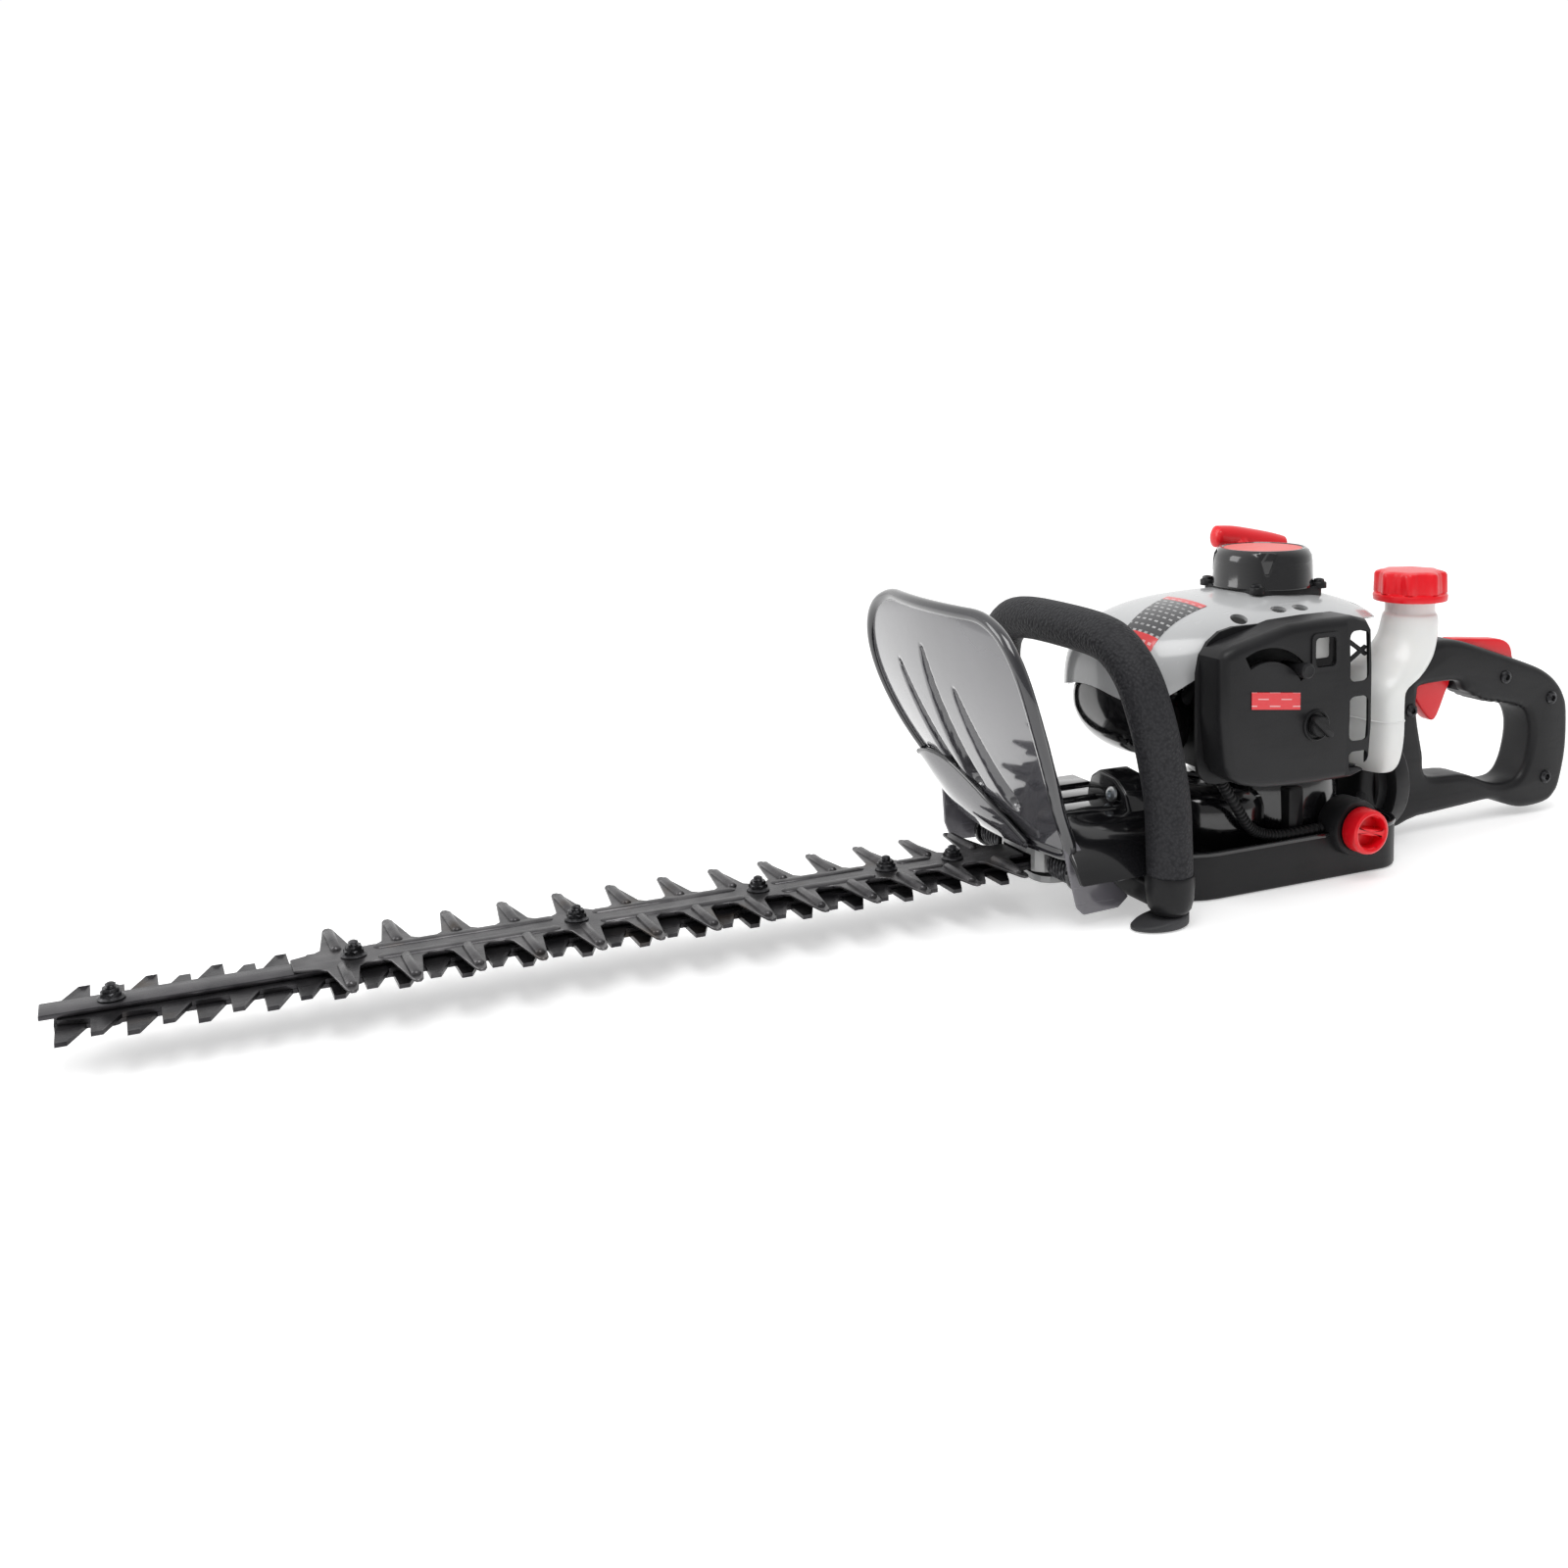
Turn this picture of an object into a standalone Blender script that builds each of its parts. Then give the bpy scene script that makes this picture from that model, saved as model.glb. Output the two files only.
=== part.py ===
"""Petrol hedge trimmer with a 600 mm double-acting blade and a swivelling rear handle.

Metres, +Z up. X = 0 is the engine's crank axis, the blades point to -X, the rear handle to +X,
and Z = 0 is the plane that the base rests on.
"""

import math

import bmesh
import bpy
from mathutils import Matrix, Vector

GAP = 0.0003

# cutting gear
PITCH = 0.035
BAR_TIP_X, BAR_REAR_X = -0.806, -0.150
BAR_HALF = 0.0095
TRAVEL = PITCH / 2
UPPER_FIRST_X, UPPER_TEETH = -0.7806, 16
LOWER_FIRST_X, LOWER_TEETH = UPPER_FIRST_X - TRAVEL, 17
BLADE_REAR_X = -0.094
BLADE_STRIP, BLADE_REACH = 0.016, 0.036
TOOTH_TIP, TOOTH_ROOT = 0.006, 0.0155
COMB_FIRST_X, COMB_TEETH = -0.650, 13
COMB_FRONT_X, COMB_REAR_X = -0.676, -0.2075
COMB_STRIP, COMB_REACH = 0.0145, 0.054
LOWER_Z, UPPER_Z, BAR_Z, COMB_Z, COMB_TOP_Z = 0.0232, 0.0260, 0.0287, 0.0320, 0.0336
BOLT_X = (-0.770, -0.642, -0.511, -0.393, -0.303, -0.254)
BOLT_RADIUS, SLOT_RADIUS = 0.0025, 0.003

# drive
GEAR_X, GEAR_RADIUS, PINION_RADIUS = -0.045, 0.0357, 0.009
GEAR_TEETH, PINION_TEETH = 28, 7
ECCENTRICITY, ECCENTRIC_RADIUS = TRAVEL / 2, 0.011
CASE_Z, CASE_TOP_Z = 0.0230, 0.058
COVER_Z = 0.0180

# engine
CRANK_Z, THROW = 0.106, 0.013
CASE_RADIUS = 0.034
CRANKCASE_Z, CRANKCASE_TOP_Z = 0.0825, 0.130
BORE_RADIUS, HEAD_X = 0.017, -0.084
FAN_Z, FAN_RADIUS, FAN_VANES = 0.134, 0.050, 12

# housings
BASE_FRONT_X, BASE_REAR_X, BASE_HALF, BASE_TOP_Z = -0.135, 0.0745, 0.068, 0.033
NOSE_X, SHROUD_HALF, SHROUD_TOP_Z = -0.145, 0.071, 0.1965
WALL = 0.0025
RECOIL_RADIUS, RECOIL_Z, RECOIL_TOP_Z = 0.035, 0.1975, 0.2245
FILTER_FACE_Y = -0.100

# handles
SWIVEL_Z, SWIVEL_RADIUS = 0.047, 0.041
HANDLE_HALF = 0.0165
TRIGGER_PIVOT = (0.139, 0.0, 0.122)
LOCK_PIVOT = (0.177, 0.0, 0.1365)
GRIP_RADIUS, LEG_Y = 0.0165, 0.091
CAP_AT = (0.106, -0.032, 0.1815)
CAP_RADIUS = 0.0255
RELEASE_AT = (0.022, -0.0750, 0.035)
GRIP_AT = (0.032, 0.0600, 0.2200)
ROPE_X, ROPE_Z = 0.023, 0.2110
CHOKE_PIVOT, CHOKE_RADIUS, CHOKE_REST = (-0.0765, 0.0, 0.1345), 0.034, 42


for old in list(bpy.data.objects):
    bpy.data.objects.remove(old, do_unlink=True)

PARTS = bpy.data.collections.new("petrol_hedge_trimmer")
CUTTERS = bpy.data.collections.new("cutters")
bpy.context.scene.collection.children.link(PARTS)
bpy.context.scene.collection.children.link(CUTTERS)

FINISHES = {
    "blade_steel": ((0.11, 0.105, 0.10), 0.38, 1.0),
    "zinc_steel": ((0.62, 0.62, 0.60), 0.35, 1.0),
    "dark_bolt": ((0.06, 0.06, 0.06), 0.45, 0.8),
    "cast_alloy": ((0.42, 0.42, 0.42), 0.50, 0.9),
    "black_gloss": ((0.020, 0.020, 0.022), 0.22, 0.0),
    "black_satin": ((0.035, 0.035, 0.038), 0.45, 0.0),
    "grey_gloss": ((0.58, 0.58, 0.565), 0.20, 0.0),
    "smoke_gloss": ((0.045, 0.047, 0.05), 0.12, 0.0),
    "red_plastic": ((0.62, 0.035, 0.025), 0.35, 0.0),
    "foam_grip": ((0.040, 0.040, 0.043), 0.80, 0.0),
    "foot_rubber": ((0.10, 0.10, 0.105), 0.85, 0.0),
    "white_tank": ((0.80, 0.80, 0.76), 0.30, 0.0),
    "filter_foam": ((0.25, 0.25, 0.22), 0.95, 0.0),
    "white_ceramic": ((0.85, 0.85, 0.82), 0.15, 0.0),
    "rope": ((0.70, 0.68, 0.62), 0.90, 0.0),
}


def material(finish):
    """The Principled material of one finish, made on first use."""
    found = bpy.data.materials.get(finish)
    if found:
        return found
    colour, roughness, metallic = FINISHES[finish]
    made = bpy.data.materials.new(finish)
    made.use_nodes = True
    shader = made.node_tree.nodes["Principled BSDF"]
    shader.inputs["Base Color"].default_value = (*colour, 1.0)
    shader.inputs["Roughness"].default_value = roughness
    shader.inputs["Metallic"].default_value = metallic
    return made


def add(name, mesh, finish, at):
    """Put a mesh into the scene; without a finish it is a tool that only cuts or joins."""
    part = bpy.data.objects.new(name, mesh)
    part.location = at
    if finish:
        mesh.materials.append(material(finish))
        PARTS.objects.link(part)
    else:
        CUTTERS.objects.link(part)
        part.hide_render = True
        part.display_type = "WIRE"
    bpy.context.view_layer.update()
    return part


def turn_to(axis):
    """The rotation that takes +Z to the given axis."""
    return Vector((0, 0, 1)).rotation_difference(Vector(axis)).to_matrix().to_4x4()


def from_bmesh(name, shape, finish, at):
    mesh = bpy.data.meshes.new(name)
    shape.to_mesh(mesh)
    shape.free()
    return add(name, mesh, finish, at)


def block(name, finish, low, high, rounding=0.0, at=(0, 0, 0), segments=1):
    """A box between two corners, given from the point at; rounding bevels its edges."""
    size = [b - a for a, b in zip(low, high)]
    centre = [(a + b) / 2 for a, b in zip(low, high)]
    shape = bmesh.new()
    bmesh.ops.create_cube(shape, size=1.0, matrix=Matrix.Translation(centre) @ Matrix.Diagonal((*size,
        1.0)))
    if rounding:
        bmesh.ops.bevel(shape, geom=shape.edges[:], offset=rounding, segments=segments, profile=0.5,
            affect="EDGES")
    return from_bmesh(name, shape, finish, at)


def drum(name, finish, radius, start, end, at=(0, 0, 0), axis=(0, 0, 1), sides=32, end_radius=None):
    """A cylinder or cone along an axis, from start to end measured from the point at."""
    shape = bmesh.new()
    place = turn_to(axis) @ Matrix.Translation((0, 0, (start + end) / 2))
    bmesh.ops.create_cone(
        shape, cap_ends=True, segments=sides, radius1=radius,
        radius2=radius if end_radius is None else end_radius, depth=end - start, matrix=place,
    )
    return from_bmesh(name, shape, finish, at)


def turned(name, finish, profile, at=(0, 0, 0), axis=(0, 0, 1), sides=32):
    """A turned piece: profile holds (radius, height) down its outer side, and back up its bore."""
    shape = bmesh.new()
    points = [shape.verts.new((radius, 0, height)) for radius, height in profile]
    for first, second in zip(points, points[1:]):
        shape.edges.new((first, second))
    if profile[0][0] > 0:
        shape.edges.new((points[-1], points[0]))
    part = from_bmesh(name, shape, finish, at)
    part.rotation_euler = turn_to(axis).to_euler()
    screw = part.modifiers.new("turn", "SCREW")
    screw.steps = screw.render_steps = sides
    screw.use_merge_vertices = True
    screw.merge_threshold = 0.00001
    bpy.context.view_layer.update()
    return part


def meshed(curve_object, name, finish, at):
    """A curve object turned into a welded mesh, so that it can be cut and joined."""
    bpy.context.view_layer.update()
    evaluated = curve_object.evaluated_get(bpy.context.evaluated_depsgraph_get())
    mesh = bpy.data.meshes.new_from_object(evaluated)
    mesh.materials.clear()
    shape = bmesh.new()
    shape.from_mesh(mesh)
    bmesh.ops.remove_doubles(shape, verts=shape.verts[:], dist=0.00001)
    shape.to_mesh(mesh)
    shape.free()
    mesh.transform(curve_object.matrix_world)
    bpy.data.objects.remove(curve_object, do_unlink=True)
    return add(name, mesh, finish, at)


def plate(name, finish, outlines, low, high, at=(0, 0, 0), upright=False, chamfer=0.0):
    """Flat outlines, the first with the others as holes, made solid from low to high.

    A flat plate's points are x, y and its thickness goes up; an upright plate's are x, z and it goes to +Y.
    """
    data = bpy.data.curves.new(name, "CURVE")
    data.dimensions = "2D"
    data.fill_mode = "BOTH"
    data.extrude = (high - low) / 2 - chamfer
    data.bevel_depth = chamfer
    data.bevel_resolution = 0
    data.offset = -chamfer
    for outline in outlines:
        spline = data.splines.new("POLY")
        spline.points.add(len(outline) - 1)
        spline.use_cyclic_u = True
        for point, (x, y) in zip(spline.points, outline):
            point.co = (x, y, 0, 1)
    drawn = bpy.data.objects.new(name + "_outline", data)
    CUTTERS.objects.link(drawn)
    middle = (low + high) / 2
    if upright:
        drawn.matrix_world = Matrix.Translation((0, middle, 0)) @ Matrix.Rotation(math.pi / 2, 4, "X")
    else:
        drawn.location = (0, 0, middle)
    return meshed(drawn, name, finish, at)


def rod(name, finish, points, radius, resolution=2):
    """A bent rod or wire through points, with closed ends."""
    data = bpy.data.curves.new(name, "CURVE")
    data.dimensions = "3D"
    data.bevel_depth = radius
    data.bevel_resolution = resolution
    data.use_fill_caps = True
    spline = data.splines.new("POLY")
    spline.points.add(len(points) - 1)
    for point, place in zip(spline.points, points):
        point.co = (*place, 1)
    drawn = bpy.data.objects.new(name + "_line", data)
    CUTTERS.objects.link(drawn)
    return meshed(drawn, name, finish, (0, 0, 0))


def boolean(part, tool, operation):
    change = part.modifiers.new(tool.name, "BOOLEAN")
    change.operation = operation
    change.solver = "EXACT"
    change.object = tool
    return part


def cut(part, *tools):
    for tool in tools:
        boolean(part, tool, "DIFFERENCE")
    return part


def join(part, *tools):
    for tool in tools:
        boolean(part, tool, "UNION")
    return part


def arc(centre, radius, start, end, steps):
    """Points on an arc, by angles in degrees."""
    angles = [math.radians(start + (end - start) * i / steps) for i in range(steps + 1)]
    return [(centre[0] + radius * math.cos(a), centre[1] + radius * math.sin(a)) for a in angles]


def slot(x_low, x_high, radius, steps=3):
    """The outline of a long hole along X, on the centre line."""
    return arc((x_high, 0), radius, -90, 90, steps) + arc((x_low, 0), radius, 90, 270, steps)


def rounded(x_low, x_high, y_low, y_high, radii, steps=5):
    """A rectangle's outline with its corner radii in the order ++, -+, --, +-."""
    corners = ((x_high, y_high, -1, -1, 0), (x_low, y_high, 1, -1, 90), (x_low, y_low, 1, 1, 180),
        (x_high, y_low, -1, 1, 270))
    points = []
    for (x, y, inward_x, inward_y, start), radius in zip(corners, radii):
        points += arc((x + inward_x * radius, y + inward_y * radius), radius, start, start + 90, steps)
    return points


def smooth_path(points, steps):
    """A Catmull-Rom curve through points, with steps between each two."""
    points = [Vector(p) for p in points]
    padded = [2 * points[0] - points[1]] + points + [2 * points[-1] - points[-2]]
    path = []
    for a, b, c, d in zip(padded, padded[1:], padded[2:], padded[3:]):
        for i in range(steps):
            t = i / steps
            square, cube = 2 * a - 5 * b + 4 * c - d, 3 * b - a - 3 * c + d
            path.append(0.5 * (2 * b + (c - a) * t + square * t ** 2 + cube * t ** 3))
    return path + [points[-1]]


# ---------------------------------------------------------------- cutting gear

def toothed(near, far, front_x, rear_x, strip):
    """A strip's outline with teeth on both edges: near and far hold (x, distance from the centre line)."""
    front = strip * 0.7
    near_edge = [(x, -y) for x, y in near]
    return [(front_x, -front)] + near_edge + [(rear_x, -strip),
        (rear_x, strip)] + far[::-1] + [(front_x, front)]


COMB_TOOTH = ((-0.008, COMB_STRIP), (-0.0028, COMB_REACH), (0.0028, COMB_REACH), (0.008, COMB_STRIP))


def guide_bar():
    holes = [slot(x - GAP, x + GAP, BOLT_RADIUS + GAP) for x in BOLT_X]
    outline = rounded(BAR_TIP_X, BAR_REAR_X, -BAR_HALF, BAR_HALF, (0.001, 0.006, 0.006, 0.001), 3)
    plate("guide_bar", "blade_steel", [outline] + holes, BAR_Z, COMB_Z - GAP)


def comb_guard():
    holes = [slot(x - GAP, x + GAP, BOLT_RADIUS + GAP) for x in BOLT_X[1:]]
    teeth = [(COMB_FIRST_X + i * PITCH + x, y) for i in range(COMB_TEETH) for x, y in COMB_TOOTH]
    outline = toothed(teeth, teeth, COMB_FRONT_X, COMB_REAR_X, COMB_STRIP)
    plate("comb_guard", "blade_steel", [outline] + holes, COMB_Z, COMB_TOP_Z)


def blade(name, first_x, count, far_from, front_x, low, high, slide):
    """One blade; slide is +1 if it moves to +X from rest and -1 if it moves to -X.

    A tooth has one square flank, at first_x and every pitch behind it: near teeth stand behind that
    line and far teeth in front of it, so the outline is the same turned half round.
    """
    slots = []
    for x in BOLT_X:
        ends = sorted((x - slide * TRAVEL, x))
        slots.append(slot(ends[0] - 0.0008, ends[1] + 0.0008, SLOT_RADIUS))
    square = [first_x + i * PITCH for i in range(count)]
    near = []
    for x in square:
        near += [(x, BLADE_STRIP), (x, BLADE_REACH), (x + TOOTH_TIP, BLADE_REACH),
            (x + TOOTH_ROOT, BLADE_STRIP)]
    far = []
    for x in square[far_from:]:
        far += [(x - TOOTH_ROOT, BLADE_STRIP), (x - TOOTH_TIP, BLADE_REACH), (x, BLADE_REACH),
            (x, BLADE_STRIP)]
    plate(name, "blade_steel", [toothed(near, far, front_x, BLADE_REAR_X, BLADE_STRIP)] + slots, low, high)


def blade_bolts():
    """Shouldered bolts: heads under the blades, locknuts on the comb, studs standing out of them."""
    for number, x in enumerate(BOLT_X, 1):
        seat = COMB_TOP_Z if x > COMB_FRONT_X else COMB_Z - GAP
        nut_low = seat + GAP
        bolt = drum(f"blade_bolt_{number}", "dark_bolt", BOLT_RADIUS, LOWER_Z - 0.0052, nut_low + 0.0085,
            at=(x, 0, 0), sides=8)
        head = drum(f"bolt_head_{number}", None, 0.0052, LOWER_Z - 0.0045, LOWER_Z - GAP, at=(x, 0, 0),
            sides=10)
        nut = drum(f"bolt_nut_{number}", None, 0.0056, nut_low, nut_low + 0.0052, at=(x, 0, 0), sides=6)
        join(bolt, head, nut)


# ---------------------------------------------------------------- gear case and drive

def gear_case():
    """Cast upper case: a narrow nose on the bar, a round gear chamber, and a seat for the clutch housing."""
    nose = rounded(-0.205, -0.060, -0.027, 0.027, (0.001, 0.012, 0.012, 0.001), 3)
    case = plate("gear_case", "cast_alloy", [nose], CASE_Z, 0.052)
    chamber = drum("gear_chamber_wall", None, GEAR_RADIUS + 0.0065, CASE_Z, CASE_TOP_Z, at=(GEAR_X, 0, 0),
        sides=32)
    seat = drum("pinion_chamber_wall", None, 0.024, CASE_Z, CASE_TOP_Z, sides=24)
    join(case, chamber, seat)
    tunnel = block("blade_tunnel", None, (-0.210, -0.0175, CASE_Z - 0.001),
        (-0.040, 0.0175, COMB_TOP_Z + GAP))
    space = drum("gear_space", None, GEAR_RADIUS + 0.0015, CASE_Z - 0.001, 0.0545, at=(GEAR_X, 0, 0),
        sides=32)
    pinion_space = drum("pinion_space", None, PINION_RADIUS + 0.002, CASE_Z - 0.001, 0.0545, sides=16)
    shaft_hole = drum("pinion_shaft_hole", None, 0.0065, 0.050, 0.060, sides=14)
    cut(case, tunnel, space, pinion_space, shaft_hole)


def gear_case_cover():
    """Bottom plate that closes the gear chamber and clamps the blade stack's rear end."""
    outline = rounded(-0.200, -0.070, -0.026, 0.026, (0.001, 0.012, 0.012, 0.001), 3)
    cover = plate("gear_case_cover", "cast_alloy", [outline], COVER_Z - 0.0035, COVER_Z + 0.0010)
    pad = drum("cover_chamber_pad", None, GEAR_RADIUS + 0.006, COVER_Z - 0.0035, CASE_Z - GAP,
        at=(GEAR_X, 0, 0), sides=28)
    well = drum("cover_well", None, GEAR_RADIUS - 0.005, COVER_Z + 0.0005, CASE_Z + 0.001,
        at=(GEAR_X, 0, 0), sides=24)
    join(cover, pad)
    way = block("cover_blade_way", None, (-0.125, -0.0175, COVER_Z + 0.0004),
        (-0.06, 0.0175, CASE_Z + 0.001))
    bore = drum("cover_arbor_bore", None, 0.004 + GAP, 0.0, CASE_Z, at=(GEAR_X, 0, 0), sides=12)
    cut(cover, well, way, bore)


def gear_outline(radius, depth, teeth):
    points = []
    for i in range(teeth):
        for share, r in ((0.0, radius - depth), (0.30, radius), (0.55, radius), (0.85, radius - depth)):
            angle = 2 * math.pi * (i + share) / teeth
            points.append((r * math.cos(angle), r * math.sin(angle)))
    return points


def drive_gear():
    """Reduction gear with the two opposed eccentrics that drive the blade tails."""
    at = (GEAR_X, 0, 0)
    gear = plate("drive_gear", "zinc_steel", [gear_outline(GEAR_RADIUS, 0.0022, GEAR_TEETH)], 0.0370,
        0.0450, at=at)
    hub = drum("gear_hub", None, 0.010, 0.0345, 0.0535, at=at, sides=16)
    upper = drum("upper_eccentric", None, ECCENTRIC_RADIUS, UPPER_Z - 0.0001, 0.0350,
        at=(GEAR_X + ECCENTRICITY, 0, 0), sides=18)
    lower = drum("lower_eccentric", None, ECCENTRIC_RADIUS, LOWER_Z + 0.0001, UPPER_Z + 0.0003,
        at=(GEAR_X - ECCENTRICITY, 0, 0), sides=18)
    join(gear, hub, upper, lower)
    cut(gear, drum("gear_bore", None, 0.004 + GAP, 0.018, 0.06, at=at, sides=12))


def gear_arbor():
    drum("gear_arbor", "zinc_steel", 0.004, COVER_Z - 0.0035, 0.0542, at=(GEAR_X, 0, 0), sides=12)


def clutch_drum():
    """Cup of the centrifugal clutch, in one piece with its shaft and pinion."""
    shape = turned("clutch_drum", "zinc_steel", ((0.034, 0.0775), (0.034, 0.0630), (0.0318, 0.0630),
        (0.0318, 0.0775)), sides=28)
    floor = drum("drum_floor", None, 0.0330, 0.0630, 0.0650, sides=28)
    shaft = drum("drum_shaft", None, 0.0055, 0.0500, 0.0640, sides=14)
    pinion = plate("pinion", None, [gear_outline(PINION_RADIUS, 0.0020, PINION_TEETH)], 0.0372, 0.0520)
    join(shape, floor, shaft, pinion)


def clutch_rotor():
    """Two shoes on a hub, fixed to the crankshaft's lower end."""
    rotor = block("clutch_rotor", "dark_bolt", (-0.009, -0.0305, 0.0660), (0.009, 0.0305, 0.0770), 0.001)
    for side in (-1, 1):
        outline = arc((0, 0), 0.0312, 20, 160, 8) + arc((0, 0), 0.0215, 160, 20, 8)
        shoe = plate(f"clutch_shoe_{side}", None, [[(x, side * y) for x, y in outline]], 0.0663, 0.0767)
        join(rotor, shoe)
    cut(rotor, drum("rotor_bore", None, 0.006 + GAP, 0.060, 0.080, sides=14))


def clutch_housing():
    """Black bell that carries the gear case under the crankcase."""
    bell = turned("clutch_housing", "black_gloss", ((0.046, 0.0820), (0.050, 0.0785), (0.052, 0.0585),
        (0.049, 0.0585), (0.0475, 0.0755), (0.0365, 0.0790), (0.0365, 0.0820)), sides=32)
    floor = drum("bell_floor", None, 0.0505, 0.0583, 0.0612, sides=32)
    join(bell, floor)
    cut(bell, drum("bell_shaft_hole", None, 0.0065, 0.055, 0.065, sides=14))


# ---------------------------------------------------------------- engine

def crankcase():
    case = drum("crankcase", "cast_alloy", CASE_RADIUS, CRANKCASE_Z, CRANKCASE_TOP_Z, sides=28)
    flange = block("cylinder_flange", None, (-0.040, -0.024, 0.084), (-0.005, 0.024, 0.128), 0.002)
    foot = drum("crankcase_foot", None, 0.0392, CRANKCASE_Z, 0.0875, sides=28)
    join(case, flange, foot)
    chamber = drum("crank_chamber", None, 0.0255, 0.0895, 0.1225, sides=24)
    mouth = drum("piston_mouth", None, BORE_RADIUS + 0.0005, 0.0, 0.05, at=(0, 0, CRANK_Z),
        axis=(-1, 0, 0), sides=20)
    shaft = drum("crank_bore", None, 0.0065, 0.080, 0.135, sides=14)
    cut(case, chamber, mouth, shaft)


def cylinder():
    """Finned barrel and head, lying towards the blades, open to the crankcase and at its two ports."""
    start, end = 0.0403, -HEAD_X
    barrel = drum("cylinder", "cast_alloy", 0.0225, start, end, at=(0, 0, CRANK_Z), axis=(-1, 0, 0),
        sides=20)
    for i in range(4):
        x = -start - 0.0060 - i * 0.0090
        fin = block(f"fin_{i}", None, (x - 0.0016, -0.034, CRANK_Z - 0.023), (x, 0.034, CRANK_Z + 0.023))
        join(barrel, fin)
    join(barrel, block("head", None, (HEAD_X, -0.016, CRANK_Z - 0.020),
        (HEAD_X + 0.008, 0.016, CRANK_Z + 0.020)))
    bore = drum("cylinder_bore", None, BORE_RADIUS, 0.030, end - 0.0065, at=(0, 0, CRANK_Z),
        axis=(-1, 0, 0), sides=20)
    plug = drum("plug_bore", None, 0.0052, 0.060, 0.110, at=(0, 0, CRANK_Z), axis=(-1, 0, 0), sides=16)
    cut(barrel, bore, plug)


def piston():
    """Resting at the top of its stroke; its joint takes it a whole stroke towards the crank."""
    crown = -HEAD_X - 0.0085
    shape = drum("piston", "zinc_steel", BORE_RADIUS - 0.0004, crown - 0.024, crown, at=(0, 0, CRANK_Z),
        axis=(-1, 0, 0), sides=20)
    cut(shape, drum("piston_skirt", None, BORE_RADIUS - 0.0025, crown - 0.030, crown - 0.005,
        at=(0, 0, CRANK_Z), axis=(-1, 0, 0), sides=18))


def crankshaft():
    shaft = drum("crankshaft", "zinc_steel", 0.006, 0.0655, 0.0935, sides=14)
    top = drum("crank_upper", None, 0.006, 0.1190, 0.1620, sides=14)
    lower_web = drum("lower_web", None, 0.0245, 0.0915, 0.0990, sides=24)
    upper_web = drum("upper_web", None, 0.0245, 0.1130, 0.1205, sides=24)
    pin = drum("crank_pin", None, 0.005, 0.0980, 0.1140, at=(-THROW, 0, 0), sides=12)
    join(shaft, lower_web, pin, upper_web, top)


def flywheel_fan():
    wheel = turned("flywheel_fan", "cast_alloy", ((FAN_RADIUS, 0.1385), (FAN_RADIUS, FAN_Z),
        (0.010, FAN_Z), (0.010, 0.1385)), sides=32)
    for i in range(FAN_VANES):
        angle = 2 * math.pi * (i + 0.5) / FAN_VANES
        vane = block(f"vane_{i}", None, (0.012, -0.001, 0.1375), (FAN_RADIUS - 0.003, 0.001, 0.1520))
        vane.rotation_euler = (0, 0, angle)
        join(wheel, vane)
    hub = drum("fan_hub", None, 0.015, FAN_Z - 0.0005, 0.1560, sides=20)
    join(wheel, hub)
    cut(wheel, drum("fan_bore", None, 0.0063, 0.130, 0.160, sides=14))


def ignition_coil():
    coil = block("ignition_coil", "black_satin", (0.0515, 0.006, 0.134), (0.068, 0.040, 0.150), 0.0015)
    join(coil, block("coil_lead_boss", None, (0.056, 0.036, 0.137), (0.064, 0.047, 0.145), 0.001))


def muffler():
    box = block("muffler", "dark_bolt", (-0.072, 0.0365, 0.080), (-0.020, 0.066, 0.128), 0.006)
    join(box, drum("muffler_outlet", None, 0.006, 0.0, 0.014, at=(-0.062, 0.055, 0.100), axis=(-1, 0, 0),
        sides=16))


def carburettor():
    body = block("carburettor", "cast_alloy", (-0.062, -0.062, 0.088), (-0.030, -0.0355, 0.122), 0.0015)
    join(body, drum("carburettor_bowl", None, 0.013, 0.078, 0.092, at=(-0.046, -0.049, 0), sides=20))
    cut(body, drum("carburettor_throat", None, 0.007, -0.01, 0.08, at=(-0.046, -0.005, 0.106),
        axis=(0, -1, 0), sides=20))


def spark_plug():
    plug = drum("spark_plug", "white_ceramic", 0.005, 0.0785, 0.0960, at=(0, 0, CRANK_Z), axis=(-1, 0, 0),
        sides=16)
    hexagon = drum("plug_hexagon", None, 0.0078, 0.0845, 0.0910, at=(0, 0, CRANK_Z), axis=(-1, 0, 0),
        sides=6)
    join(plug, hexagon)


def plug_boot():
    boot = drum("plug_boot", "black_satin", 0.0078, 0.0913, 0.1070, at=(0, 0, CRANK_Z), axis=(-1, 0, 0),
        sides=20)
    elbow = drum("boot_elbow", None, 0.0062, 0.0, 0.030, at=(-0.1005, 0, CRANK_Z), axis=(0, -1, 0),
        sides=16)
    join(boot, elbow)
    cut(boot, drum("boot_socket", None, 0.005 + GAP, 0.090, 0.0965, at=(0, 0, CRANK_Z), axis=(-1, 0, 0),
        sides=16))


# ---------------------------------------------------------------- air filter

def filter_outline(inset):
    return rounded(-0.118 + inset, 0.012 - inset, 0.079 + inset, 0.188 - inset,
        [0.016 - inset / 2, 0.030 - inset / 2, 0.016 - inset / 2, 0.012 - inset / 2], 4)


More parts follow.
